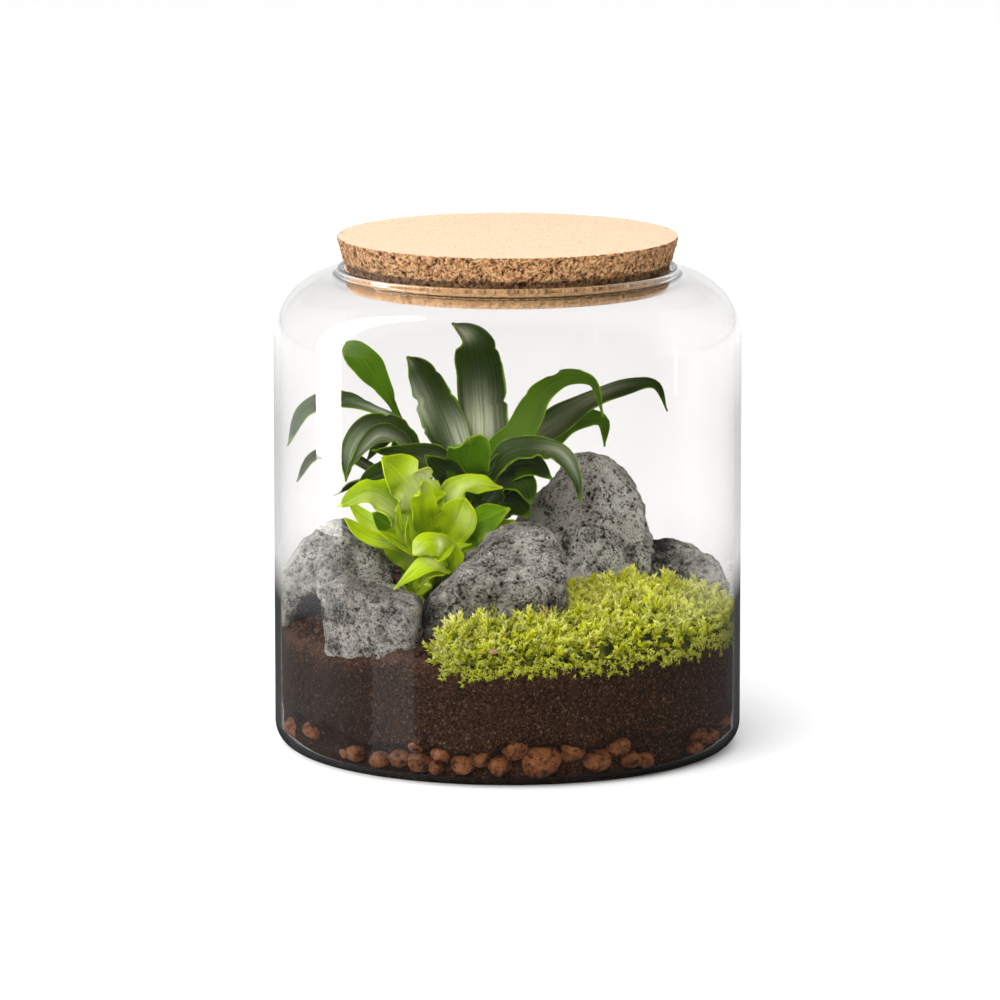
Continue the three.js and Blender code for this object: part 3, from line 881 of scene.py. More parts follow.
@dataclass(frozen=True)
class LavaRock:
    """Grey porous lava with its shape painted in: painted shade in pits, pores and dents, painted light on
    ridges, read from what each stone stores of its shape.
    """

    name: str
    dark: Colour
    mid: Colour
    light: Colour
    grain: float = 0.0010
    cloud: float = 0.007
    wide_pore: float = 0.0019
    fine_pore: float = 0.0009

    def material(self) -> bpy.types.Material:
        """Build the material.

        Returns:
            The material.
        """
        shader = Shader(self.name, Roughness=0.88, Specular_IOR_Level=0.35)
        grain = shader.noise(self.grain, 5, 0.85)
        clouds = shader.noise(self.cloud, 3, 0.6)
        # What the stone stores of its shape paints light on raised parts and shade in hollows.
        mottled = shader.math("ADD", shader.stored("relief_shade"), shader.spread(grain, 0.34, 0.66, -0.40, 0.40))
        mottled = shader.math("ADD", mottled, shader.spread(clouds, 0.35, 0.65, -0.15, 0.15))
        shader.tones = shader.ramp(mottled, [(0.05, self.dark), (0.5, self.mid), (1.0, self.light)])
        # Pores: bumped pits with painted shade in them.
        wide = shader.spread(shader.noise(self.wide_pore, 2, 0.6), 0.43, 0.36)
        wide = shader.times(wide, shader.spread(shader.noise(0.010, 3, 0.6), 0.44, 0.54))
        fine = shader.spread(shader.noise(self.fine_pore, 2, 0.6), 0.44, 0.37)
        fine = shader.times(fine, shader.spread(shader.noise(0.005, 3, 0.6), 0.42, 0.54))
        pores = shader.math("MAXIMUM", wide, fine)
        shader.over(shader.times(pores, 0.85), self.dark)
        shader.bump((grain, 0.0018), (shader.less(wide), 0.0016), (shader.less(fine), 0.0010))
        return shader.done()


@dataclass(frozen=True)
class MossGreen:
    """Moss that brightens from its dark foot to its tips, partly its own colour and partly painted shade."""

    name: str = "moss_green"
    foot: Colour = (0.022, 0.030, 0.001)
    mid: Colour = (0.78, 0.82, 0.008)
    tip: Colour = (1.0, 1.0, 0.26)
    straw: Colour = (0.42, 0.27, 0.10)
    soil: Colour = (0.045, 0.025, 0.010)

    def material(self) -> bpy.types.Material:
        """Build the material.

        Returns:
            The material.
        """
        shader = Shader(self.name, Roughness=0.5, Specular_IOR_Level=0.3)
        # The height that the mesh stores also carries painted shade: darker low on the sprigs, on the mat,
        # in sunk sprigs and in low-hanging ones.
        height, tone = shader.stored("height"), shader.stored("tone")
        shader.tones = shader.ramp(height, [(0.08, self.foot), (0.42, self.mid), (0.9, self.tip)])
        # A low tone darkens: in random patches, and as painted shade where sprigs hang low.
        shader.over(shader.spread(tone, 0, 0.6, 0.6, 0), self.foot)
        straw = shader.ramp(height, [(0.1, self.soil), (0.3, self.straw)])
        shader.over(shader.spread(tone, 0.93, 0.97, 0, 0.8), straw)
        return shader.done()


@dataclass(frozen=True)
class LeafSkin:
    """A leaf's skin: lengthwise streaks, a thin light edge and a paler midrib on the blade's own map.

    glow is how much light the skin scatters, coat how glossy its wax is, streak how strong its lines
    are, and the sheen colour a painted highlight laid in pale streaks. Scales of lines count across the
    blade and along it.
    """

    name: str
    dark: Colour
    light: Colour
    edge: Colour
    gloss: float
    edge_share: float
    glow: float
    coat: float
    streak: float
    painted_sheen: Colour
    streak_scale: Point = (26, 1.3, 1)
    broad_scale: Point = (9, 0.9, 1)
    fine_scale: Point = (60, 2.5, 1)
    patch: float = 0.012

    def material(self) -> bpy.types.Material:
        """Build the material.

        Returns:
            The material.
        """
        shader = Shader(
            self.name, Specular_IOR_Level=0.18, Subsurface_Weight=self.glow,
            Subsurface_Radius=(0.0015, 0.003, 0.0006), Coat_Weight=self.coat, Coat_Roughness=0.16)
        blade = shader.node("UVMap", uv_map="UVMap").outputs[0]
        across, along = shader.node("SeparateXYZ", {0: blade}).outputs[:2]
        streaks = shader.noise(1, 3, 0.6, shader.stretched(self.streak_scale, blade))
        patches = shader.noise(self.patch, 2, 0.5)
        streaked = shader.spread(streaks, 0.35, 0.7, 0.25, 0.25 + self.streak)
        shader.tones = shader.mix(streaked, self.dark, self.light)
        shader.over(shader.spread(patches, 0.35, 0.7, 0, 0.75), self.light)
        off_middle = shader.math("ABSOLUTE", shader.math("SUBTRACT", across, 0.5))
        rib = shader.spread(off_middle, 0.025, 0.008, 0, 0.45)
        shader.over(rib, self.light)
        broad = shader.noise(1, 2, 0.5, shader.stretched(self.broad_scale, blade))
        lines = shader.times(shader.spread(streaks, 0.30, 0.55, 0.65, 1),
                             shader.spread(broad, 0.36, 0.52, 0.45, 1))
        # Painted sheen: pale streaky patches of highlight laid into the colour.
        shader.over(shader.times(shader.stored("sheen"), lines), self.painted_sheen)
        rim = shader.spread(off_middle, 0.5 - self.edge_share, 0.5 - self.edge_share * 0.4)
        rim = shader.times(rim, shader.spread(patches, 0.35, 0.6, 0.35, 1))
        tip = shader.spread(along, 0.94, 0.99, 0, 0.7)
        shader.over(shader.math("MAXIMUM", rim, tip), self.edge)
        shader.roughness(shader.spread(streaks, 0.3, 0.7, self.gloss - 0.05, self.gloss + 0.10))
        fine = shader.noise(1, 2, 0.5, shader.stretched(self.fine_scale, blade))
        shader.bump((streaks, 0.0006 * self.streak), (fine, 0.0003 * self.streak))
        return shader.done()


@dataclass(frozen=True)
class DryDebris:
    """Bits of dry bark and leaf."""

    name: str = "dry_debris"
    dark: Colour = (0.30, 0.15, 0.08)
    light: Colour = (0.66, 0.42, 0.29)
    grain: float = 0.0015

    def material(self) -> bpy.types.Material:
        """Build the material.

        Returns:
            The material.
        """
        shader = Shader(self.name, Roughness=0.8, Specular_IOR_Level=0.3)
        grain = shader.noise(self.grain, 3, 0.6)
        shader.tones = shader.ramp(grain, [(0.3, self.dark), (0.65, self.light)])
        shader.bump((grain, 0.0003))
        return shader.done()


class Finish(Enum):
    """The finishes of the terrarium's pieces."""

    GLASS = ClearGlass()
    CORK_FACE = CorkFace()
    CORK_EDGE = CorkEdge()
    SOIL = PottingSoil()
    CLAY = BakedClay()
    LAVA = LavaRock("lava_grey", (0.026, 0.023, 0.021), (0.40, 0.374, 0.332), (0.86, 0.815, 0.74))
    # A lighter copy of the grey lava for the back stone: painted light.
    LAVA_PALE = LavaRock("lava_painted_light", (0.030, 0.027, 0.024), (0.68, 0.65, 0.585), (1.0, 0.98, 0.92))
    LAVA_DARK = LavaRock("lava_dark", (0.024, 0.021, 0.019), (0.33, 0.303, 0.268), (0.72, 0.67, 0.60))
    MOSS = MossGreen()
    # The last colour of each leaf skin is its painted sheen, a highlight painted into the colour.
    LEAF = LeafSkin(
        "mature_leaf", dark=(0.007, 0.019, 0.001), light=(0.038, 0.078, 0.002), edge=(0.26, 0.44, 0.006),
        gloss=0.26, edge_share=0.04, glow=0.0, coat=0.25, streak=0.75, painted_sheen=(0.90, 1.0, 0.72))
    LEAF_BACK = LeafSkin(
        "mature_leaf_underside", dark=(0.030, 0.095, 0.001), light=(0.12, 0.27, 0.001),
        edge=(0.30, 0.50, 0.01), gloss=0.5, edge_share=0.03, glow=0.05, coat=0.0, streak=0.8,
        painted_sheen=(0.19, 0.38, 0.004))
    YOUNG = LeafSkin(
        "young_leaf", dark=(0.045, 0.15, 0.0), light=(0.64, 0.88, 0.0), edge=(0.72, 0.92, 0.01),
        gloss=0.30, edge_share=0.025, glow=0.04, coat=0.18, streak=0.5, painted_sheen=(0.96, 1.0, 0.46))
    YOUNG_BACK = LeafSkin(
        "young_leaf_underside", dark=(0.035, 0.11, 0.0), light=(0.24, 0.46, 0.0),
        edge=(0.55, 0.76, 0.006), gloss=0.42, edge_share=0.025, glow=0.04, coat=0.05, streak=0.5,
        painted_sheen=(0.40, 0.66, 0.01))
    DEBRIS = DryDebris()


def dress(piece: Piece, *finishes: Finish) -> None:
    """Give a piece its finishes, in the order of its material slots.

    Args:
        piece: The piece.
        finishes: What it is made of.
    """
    for finish in finishes:
        made = bpy.data.materials.get(finish.value.name) or finish.value.material()
        piece.data.materials.append(made)


# The jar and its lid

@dataclass
class Jar:
    """The blown glass jar: one wall from the middle of the bottom over the rim and down again."""

    bottom: float = 0.0024
    corner: float = 0.0105
    inner_corner: float = 0.0085
    shoulder: float = 0.028
    shoulder_start: float = 0.1763
    rim_top: float = 0.207
    rim_bead: float = 0.0014
    neck: float = 0.070
    segments: int = 192

    def profile(self) -> list[Pair]:
        """Give the wall's outline, outside first.

        Returns:
            Radius and height of each point.
        """
        shoulder_centre = JAR_RADIUS - self.shoulder
        inner = JAR_RADIUS - JAR_WALL
        wall_bottom = [(self.corner + (self.shoulder_start - self.corner) * k / 6) for k in range(1, 6)]
        return [
            *arc((JAR_RADIUS - self.corner, self.corner), self.corner, -90, 0, 10),
            *[(JAR_RADIUS, height) for height in wall_bottom],
            *arc((shoulder_centre, self.shoulder_start), self.shoulder, 0, 88, 22),
            *arc((self.neck + self.rim_bead, self.rim_top - self.rim_bead), self.rim_bead, -30, 180, 12),
            *arc((shoulder_centre, self.shoulder_start), self.shoulder - JAR_WALL, 92, 0, 20),
            *[(inner, height) for height in reversed(wall_bottom)],
            *arc((inner - self.inner_corner, self.bottom + self.inner_corner), self.inner_corner,
                 0, -90, 10),
        ]

    def build(self) -> None:
        """Build the jar."""
        piece = turned("jar_wall", self.profile(), self.segments)
        smooth_shaded(piece)
        dress(piece, Finish.GLASS)
        install(piece, "jar_glass", "glass_jar")


@dataclass
class CorkLid:
    """The pressed cork lid: a fine face and a coarse, tapered edge.

    groove says where the jar's rim marks the edge, as heights over the rim: the edge is sunk there and has
    a painted shadow line, which fades in between the first two and the last two. Below the rim, inside the
    neck, the edge is painted lighter: painted light.
    """

    top: float = 0.220
    height: float = 0.022
    top_radius: float = 0.073
    bottom_radius: float = 0.0678
    edge: float = 0.0006
    segments: int = 700
    rows: int = 30
    granule: float = 0.0019
    granule_depth: float = 0.0008
    pit: float = 0.0024
    pit_depth: float = 0.0010
    rim: float = 0.207
    grain: float = 0.0018
    grain_depth: float = 0.0003
    chip_depth: float = 0.0006
    groove: tuple[float, ...] = (0.0029, 0.0021, -0.0014, -0.0007)
    groove_depth: float = 0.0006
    groove_shade: float = 0.7
    # Where the painted light below the rim fades in.
    painted_light_below: Pair = (-0.0010, -0.0024)

    def profile(self) -> list[Pair]:
        """Give the lid's outline: bottom face, tapered edge and top face.

        Returns:
            Radius and height of each point.
        """
        bottom = self.top - self.height
        edge_rows = [(self.bottom_radius + (self.top_radius - self.bottom_radius) * k / self.rows,
                      bottom + self.edge + (self.height - 2 * self.edge) * k / self.rows)
                     for k in range(self.rows + 1)]
        face = [(self.top_radius * share, self.top) for share in (0.97, 0.85, 0.6, 0.3)]
        return [(self.bottom_radius - self.edge, bottom), *edge_rows,
                (self.top_radius - self.edge, self.top), *face]

    def build(self) -> None:
        """Build the lid, roughen its edge and give face and edge their finishes."""
        piece = turned("cork_disc", self.profile(), self.segments)
        points = places_of(piece)
        reach = reach_of(points)
        on_edge = smooth(self.top_radius - 0.008, self.bottom_radius - 0.0004, reach)
        _, own = cells(points, self.granule, 11)
        hole = np.maximum(pits(points, self.pit, 0.55, 15), pits(points, self.pit * 0.5, 0.4, 19))
        rough = fractal(points, self.grain, 2, 23)
        sunk = self.granule_depth * own * 0.5 + self.pit_depth * hole + self.grain_depth * (1 + rough)
        above = points[:, 2] - self.rim + 0.0005 * rough
        # Painted shadow line at the rim: the band is sunk a little and painted dark.
        band = smooth(*self.groove[:2], above) * smooth(*self.groove[2:], above) * on_edge
        sunk += self.groove_depth * band
        lower_face = points[:, 2] < self.top - self.height + self.edge * 0.5
        top_face = points[:, 2] > self.top - 1e-5
        pull = np.where(lower_face | top_face, 0, sunk * on_edge)
        pull_in(points, pull)
        worn = top_face & (reach > self.top_radius - self.edge * 1.2)
        points[:, 2] -= np.where(worn, self.chip_depth * hole, 0)
        move_to(piece, points)
        # Darker in the pits, painted shade; the granules' tone differs at random.
        mark(piece, "relief_shade", np.clip(1 - 0.9 * hole - 0.3 * own + 0.15 * rough, 0, 1))
        # Store the painted shadow line for the finish.
        mark(piece, "band", self.groove_shade * band)
        # Painted light on the edge below the rim, inside the glass.
        mark(piece, "lift", smooth(*self.painted_light_below, above) * on_edge)
        smooth_shaded(piece, 50)
        dress(piece, Finish.CORK_EDGE, Finish.CORK_FACE)
        for face in piece.data.polygons:
            face.material_index = int(face.normal.z > 0.9)
        install(piece, "cork", "cork_lid")


# The fill

@dataclass
class Ground:
    """The soil's shape, which the stones, the moss and the crumbs follow."""

    at_front: float = 0.0508
    mound: float = 0.012
    rise_to_back: float = 0.045
    fall_to_right: float = 0.035
    heap: float = 0.0028
    dip: float = 0.003
    lump: float = 0.0005
    bottom: float = 0.0027

    def height(self, x: Array, y: Array) -> Array:
        """Give the height of the soil at places seen from above.

        Args:
            x: To the right.
            y: To the back.

        Returns:
            The heights.
        """
        reach = np.minimum(np.hypot(x, y) / FILL_RADIUS, 1)
        lumps = np.sin(x * 310 + y * 120) + np.sin(y * 270 - x * 190)
        slope = self.rise_to_back * (y + FILL_RADIUS) - self.fall_to_right * np.maximum(x, 0)
        heap = self.heap * np.exp(-((x + 0.052) / 0.022) ** 2 - ((y + 0.085) / 0.03) ** 2)
        dip = self.dip * np.exp(-((x + 0.013) / 0.012) ** 2 - ((y + 0.097) / 0.014) ** 2)
        return self.at_front + self.mound * (1 - reach ** 4) + slope + heap - dip + self.lump * lumps


@dataclass
class Soil:
    """The soil: a crumbly body that stands back from the clay pebbles, with loose crumbs on top."""

    ground: Ground
    segments: int = 560
    side_rows: int = 38
    top_rows: int = 20
    corner: float = 0.0066
    pebble_line: float = 0.0165
    setback: float = 0.0052
    grain_depth: float = 0.0006
    top_depth: float = 0.0007
    line_wave: float = 0.004
    flat: float = 0.12
    crumbs: int = 2100
    along_glass: Pair = (0.088, 0.0955)
    smallest: float = 0.0005
    largest: float = 0.0016

    def build(self) -> None:
        """Build the soil and its crumbs."""
        self.build_body()
        self.build_crumbs()

    def build_body(self) -> None:
        """Turn the body, lift its top to the ground's height and roughen it all over."""
        low, flat = self.ground.bottom, self.flat
        side = [(FILL_RADIUS, low + self.corner + (flat - low - self.corner) * k / self.side_rows)
                for k in range(1, self.side_rows + 1)]
        top = [(FILL_RADIUS * (1 - (k / self.top_rows) ** 1.3), flat) for k in range(1, self.top_rows)]
        profile = [*arc((FILL_RADIUS - self.corner, low + self.corner), self.corner, -90, 0, 6), *side, *top]
        piece = turned("soil_body", [*profile, (0.0004, flat)], self.segments)
        points = places_of(piece)
        reach = reach_of(points)
        surface = self.ground.height(points[:, 0], points[:, 1])
        surface += self.top_depth * fractal(points * (1, 1, 0), 0.004, 3, 31)
        share = np.clip((points[:, 2] - low) / (flat - low), 0, 1)
        points[:, 2] = low + share * (surface - low)
        ragged = self.pebble_line + self.line_wave * fractal(points * (1, 1, 0.6), 0.011, 2, 37)
        front = smooth(0.0, -0.045, points[:, 1])
        back = self.setback * (0.05 + 0.95 * front) * smooth(ragged + 0.002, ragged - 0.003, points[:, 2])
        grain = self.grain_depth * (0.5 + 0.5 * fractal(points, 0.0022, 2, 41))
        on_side = smooth(FILL_RADIUS - 0.004, FILL_RADIUS, reach)
        pull = np.where(share < 0.999, (back + grain) * on_side, grain * on_side)
        pull_in(points, pull)
        move_to(piece, points)
        depth = surface - points[:, 2] + 0.002 * value_noise(points, 0.004, 45)
        upper = smooth(0.006, 0.0, depth) * (0.6 + 0.4 * value_noise(points, 0.0035, 43))
        mark(piece, "tone", np.clip(upper * smooth(0.03, -0.05, points[:, 0]) * 0.5 + 0.15 * upper, 0, 1))
        # Painted shade: darker at the lower left front, below the top.
        mark(piece, "painted_left_shade", 0.6 * smooth(-0.015, -0.075, points[:, 0]) * smooth(0.003, 0.012, depth)
             * smooth(0.02, -0.02, points[:, 1]))
        smooth_shaded(piece)
        dress(piece, Finish.SOIL)
        install(piece, "soil", "soil")

    def build_crumbs(self) -> None:
        """Strew crumbs over the soil, more of them along the glass."""
        rng = np.random.default_rng(47)
        model = added(bpy.ops.mesh.primitive_ico_sphere_add, "crumb_model", subdivisions=1, radius=1)
        points = places_of(model)
        move_to(model, points * (0.8 + 0.4 * random_of_cell((points * 40).astype(np.int64), 3))[:, None])
        angle = rng.uniform(-np.pi, np.pi, self.crumbs)
        near_glass = rng.random(self.crumbs) < 0.5
        reach = np.where(near_glass, rng.uniform(*self.along_glass, self.crumbs),
                         self.along_glass[1] * np.sqrt(rng.random(self.crumbs)))
        x, y = reach * np.cos(angle), reach * np.sin(angle)
        size = self.smallest + (self.largest - self.smallest) * rng.random(self.crumbs) ** 2
        tilt = rng.uniform(0, 3, self.crumbs)
        stretch = rng.uniform(0.6, 1.5, (self.crumbs, 3)) * size[:, None]
        matrices = turned_matrices(tilt, angle, angle * 3, stretch)
        spots = np.stack([x, y, self.ground.height(x, y) + size * 0.4], axis=1)
        tone = np.where(rng.random(self.crumbs) < 0.25, 0.9, 0.1) * rng.random(self.crumbs)
        strew(model, "soil_crumbs", matrices, spots, {"tone": tone}, Finish.SOIL, "soil")


@dataclass
class PebbleLayer:
    """The layer of baked clay pebbles: rows against the glass and a bed of smaller ones behind.

    front lists the azimuth, height and half width of each pebble at the front. grown is how much larger
    than listed they are made, and root how far each one reaches back into the bed.
    """

    seed: int = 20
    small: float = 0.0032
    large: float = 0.0064
    root: float = 0.0016
    grown: float = 1.36
    bottom: float = 0.0027
    corner: float = 0.0082
    bed_radius: float = 0.0895
    bed_pebbles: int = 54
    bed_halves: Pair = (0.003, 0.0052)
    chips: int = 7
    chips_leave: float = 0.80
    front: tuple[tuple[float, float, float], ...] = (
        (-133, 0.009, 0.0034), (-125, 0.008, 0.0034), (-119, 0.0095, 0.0042), (-113.5, 0.0085, 0.0044),
        (-114, 0.0165, 0.003), (-108.5, 0.0075, 0.0028), (-107.5, 0.013, 0.0034), (-101.5, 0.009, 0.004),
        (-97, 0.013, 0.0042), (-92, 0.009, 0.0038), (-88, 0.0165, 0.0052), (-81, 0.010, 0.0076),
        (-73, 0.014, 0.0044), (-66, 0.0095, 0.0056), (-60, 0.015, 0.0046), (-56.5, 0.0085, 0.0036),
        (-52, 0.0075, 0.0028), (-31, 0.0135, 0.0036), (-25, 0.011, 0.0038), (-33, 0.008, 0.003))

    def back(self) -> list[tuple[float, float, float]]:
        """Draw the pebbles round the rest of the glass.

        Returns:
            Azimuth, height and half width of each.
        """
        draw = Draw(self.seed)
        made = []
        for azimuth in range(-18, 216, 15):
            half = self.small + (self.large - self.small) * draw()
            lift = 0.007 if draw() < 0.35 else 0.001
            made.append((azimuth + 4 * draw(), 0.00435 + lift + half * 0.75, half))
        return made

    def lump(self, half: Point, reach: float, azimuth: float, height: float,
             seed: int, detail: int) -> Piece:
        """Make one pebble.

        Args:
            half: its half sizes towards the glass, along it and up.
            reach: how far its middle is from the jar's axis.
            azimuth: where it lies round the jar.
            height: the height of its middle.
            seed: which lumps it has.
            detail: how often the sphere that it starts from is divided.

        Returns:
            The pebble.
        """
        piece = added(bpy.ops.mesh.primitive_ico_sphere_add, "pebble", subdivisions=detail, radius=1)
        points = places_of(piece)
        points *= (1 + 0.13 * value_noise(points, 1.0, seed) + 0.05 * value_noise(points, 0.4, seed)
                   - 0.03)[:, None]
        points = chipped(points * half, self.chips, self.chips_leave, seed + 300)
        points[:, 0] += reach
        a = math.radians(azimuth)
        turn = np.array(((math.cos(a), math.sin(a), 0), (-math.sin(a), math.cos(a), 0), (0, 0, 1)))
        points = points @ turn
        points[:, 2] += height
        move_to(piece, kept_in_fill(points, self.bottom, self.corner))
        dirt = 0.5 + 0.5 * value_noise(points, 0.009, seed)
        mark(piece, "tone", np.full(len(points), 0.35 * float(np.mean(dirt)) ** 1.5) + 0.2 * dirt)
        return piece

    def build(self) -> None:
        """Lay the pebbles and the bed behind them."""
        rng = np.random.default_rng(self.seed)
        made = []
        for k, (azimuth, height, half) in enumerate([*self.front, *self.back()]):
            half *= self.grown
            size = (half + self.root, half, half * (0.78 + 0.15 * rng.random()))
            made.append(self.lump(size, FILL_RADIUS - half - self.root + 0.0004, azimuth, height, 100 + k,
                                  4 if k < len(self.front) else 3))
        for k in range(self.bed_pebbles):
            half = rng.uniform(*self.bed_halves)
            made.append(self.lump((half, half * 1.1, half * 0.85), self.bed_radius - 0.4 * half,
                                  360 * k / self.bed_pebbles + rng.uniform(-2, 2),
                                  self.bottom + half * 0.85 + 0.009 * (rng.random() ** 2), 200 + k, 3))
        piece = joined(made, "clay_pebble_layer")
        smooth_shaded(piece)
        dress(piece, Finish.CLAY)
        install(piece, "clay", "clay_pebbles")


# The lava stones

@dataclass
class LavaStone:
    """A lava stone: a block with rounded edges cut by flat faces, then pitted and roughened.

    Each face has an azimuth, an elevation and a distance from the middle, and each dent an azimuth, an
    elevation, a width in degrees and a depth as a share of the stone.
    """

    name: str
    node: str
    centre: Point
    faces: list[tuple[float, float, float]]
    dents: list[tuple[float, float, float, float]]
    finish: Finish = Finish.LAVA
    cuts: int = 66
    rounding: int = 30
    chips: int = 16
    roughness: float = 0.03
    pit: float = 0.0028
    pit_depth: float = 0.0009
    pit_share: float = 0.5
    crag: float = 0.0014
    chips_leave: float = 0.93
    broad: float = 0.012
    ridge: float = 0.006
    fine: float = 0.0024
    bend: float = 0.0009
    seed: int = 1

    def block(self, unit: Array) -> Array:
        """Give the plain block's surface, as the solid has it.

        Args:
            unit: directions from the stone's middle.

        Returns:
            The surface points, counted from the middle.
        """
        total = sum((np.maximum(unit @ direction(azimuth, elevation), 0) / distance) ** self.rounding
                    for azimuth, elevation, distance in self.faces)
        reach = total ** (-1 / self.rounding)
        for off, depth in self.dent_offsets(unit):
            reach *= 1 - depth * np.exp(-off * off)
        cx, cy = self.centre[0] * 1000, self.centre[1] * 1000
        lumps = (np.sin(unit[:, 0] * 7 + cx) * np.sin(unit[:, 1] * 6 + cy)
                 + np.sin(unit[:, 2] * 8 + unit[:, 0] * 4))
        return unit * (reach * (1 + self.roughness * lumps))[:, None]

    def dent_offsets(self, unit: Array) -> list[tuple[Array, float]]:
        """Tell how far directions are from each dent, as a share of its width, and how deep it is.

        Args:
            unit: Directions from the stone's centre.

        Returns:
            Shares and depth for each dent.
        """
        return [
            (np.arccos(np.clip(unit @ direction(azimuth, elevation), -1, 1)) / math.radians(width), depth)
            for azimuth, elevation, width, depth in self.dents]

    def cavity(self, unit: Array) -> Array:
        """Tell how much painted shade darkens the stone in its deep dents.

        Args:
            unit: Directions from the stone's centre.

        Returns:
            How much to darken each place.
        """
        dark = np.zeros(len(unit))
        for off, depth in self.dent_offsets(unit):
            dark += max(0, depth - 0.2) * 5.0 * np.exp(-(off * 1.05) ** 4)
        return dark

    def nearness(self, points: Array) -> Array:
        """Tell how close points come to this stone, from 0 at 13 mm away to 1 at its surface.

        Args:
            points: Places.

        Returns:
            The closeness of each.
        """
        offsets = points - self.centre
        gap = np.max([offsets @ direction(azimuth, elevation) - distance
                      for azimuth, elevation, distance in self.faces], axis=0)
        return 0.6 * smooth(0.013, 0.001, gap) + 0.4 * smooth(0.003, -0.0005, gap)

    def build(self, nearer: list["LavaStone"]) -> None:
        """Carve the stone from a divided cube.

        Args:
            nearer: the stones in front of this one; painted shade darkens this one where it comes close to
                them.
        """
        piece = added(bpy.ops.mesh.primitive_cube_add, self.name, size=2)
        with edited():
            bpy.ops.mesh.subdivide(number_cuts=self.cuts)
        corners = places_of(piece)
        even = np.tan(corners * (math.pi / 4) * 0.98)
        unit = even / np.linalg.norm(even, axis=1, keepdims=True)
        block = chipped(self.block(unit), self.chips, self.chips_leave, self.seed + 40)
        points = kept_in_jar(block + self.centre)
        move_to(piece, points)
        shift = np.stack([value_noise(points, 0.003, self.seed + k) for k in range(3)], -1)
        bent = points + self.bend * shift
        wide = fractal(points, self.broad, 3, self.seed + 5)
        ridges = 1 - 2 * np.abs(value_noise(bent, self.ridge, self.seed + 9))
        fine = fractal(bent, self.fine, 2, self.seed + 13)
        big = pits(bent, self.pit, self.pit_share, self.seed + 17)
        little = pits(bent, self.pit * 0.55, self.pit_share, self.seed + 21)
        raised = self.crag * (0.7 * wide + 0.35 * ridges + 0.3 * fine)
        raised -= self.pit_depth * (big + 0.55 * little) + 0.0002
        move_to(piece, kept_in_jar(points + places_of(piece, "normal") * raised[:, None]))
        # Painted light and shade from the stone's shape: lighter on lumps and ridges, darker in pits.
        relief_shade = 0.55 + 0.24 * wide + 0.20 * ridges + 0.10 * fine - 0.50 * big - 0.42 * little
        # Painted contact shade near the stones in front, and painted shade in deep dents.
        painted_contact_shade = np.clip(sum(stone.nearness(points) for stone in nearer), 0, 1)
        mark(piece, "relief_shade", np.clip(relief_shade - self.cavity(unit) - 0.6 * painted_contact_shade, 0, 1))
        smooth_shaded(piece)
        dress(piece, self.finish)
        install(piece, "lava", self.node)


STONES = [
    LavaStone(
        "lava_block_front_left", "stone_front_left", centre=(-0.0555, -0.062, 0.066),
        faces=[(180, 0, 0.0205), (0, -5, 0.0205), (0, 80, 0.0128), (180, 50, 0.0218), (0, 45, 0.0185),
               (-95, 8, 0.018), (-133, 0, 0.016), (90, 12, 0.017), (45, 10, 0.024), (-40, 0, 0.024),
               (-115, -45, 0.0205), (0, -90, 0.016)],
        dents=[(-60, 70, 20, 0.1)],
        finish=Finish.LAVA_DARK, cuts=60, chips=10, pit_depth=0.0006, crag=0.001, seed=301),
    LavaStone(
        "lava_block_back_left", "stone_back_left", centre=(-0.07, -0.01, 0.074),
        faces=[(180, 0, 0.028), (180, 38, 0.022), (150, 75, 0.024), (0, 57, 0.019), (0, 15, 0.0245),
               (0, -30, 0.018), (-75, 25, 0.019), (-120, 20, 0.024), (90, 15, 0.022), (135, 40, 0.024),
               (50, 25, 0.022), (0, -90, 0.02)],
        dents=[(-123, -27, 15, 0.48)], cuts=62, seed=302),
    LavaStone(
        "lava_oblong_centre", "stone_centre", centre=(-0.005, -0.052, 0.077),
        faces=[(180, -5, 0.0305), (180, 45, 0.0172), (180, 72, 0.023), (0, 75, 0.031), (0, 52, 0.0325),
               (0, 25, 0.032), (0, 0, 0.0295), (0, -45, 0.024), (-90, 55, 0.0195), (-88, -8, 0.021),
               (75, 20, 0.019), (110, 10, 0.02), (140, 10, 0.021), (0, -90, 0.021)],
        dents=[], cuts=70, pit_depth=0.0012, seed=303),
    LavaStone(
        "lava_block_back", "stone_back", centre=(0.035, 0.02, 0.087),
        faces=[(180, 45, 0.029), (180, 10, 0.0325), (180, 75, 0.034), (0, 60, 0.032), (0, 40, 0.0288),
               (0, 15, 0.0266), (0, -20, 0.0305), (-112, 28, 0.02), (-60, 25, 0.021), (90, 20, 0.02),
               (128, 25, 0.024), (48, 20, 0.026), (0, -90, 0.03)],
        dents=[(-95, -5, 22, 0.08)], finish=Finish.LAVA_PALE, cuts=78, seed=304),
    LavaStone(
        "lava_block_right", "stone_right", centre=(0.079, 0.014, 0.07),
        faces=[(180, 0, 0.0172), (180, 40, 0.022), (180, 80, 0.017), (0, 62, 0.0108), (0, 30, 0.0138),
               (0, 0, 0.0165), (-90, 25, 0.012), (90, 20, 0.013), (0, -45, 0.0155), (0, -90, 0.016)],
        dents=[], cuts=46, seed=305),
]


# Moss

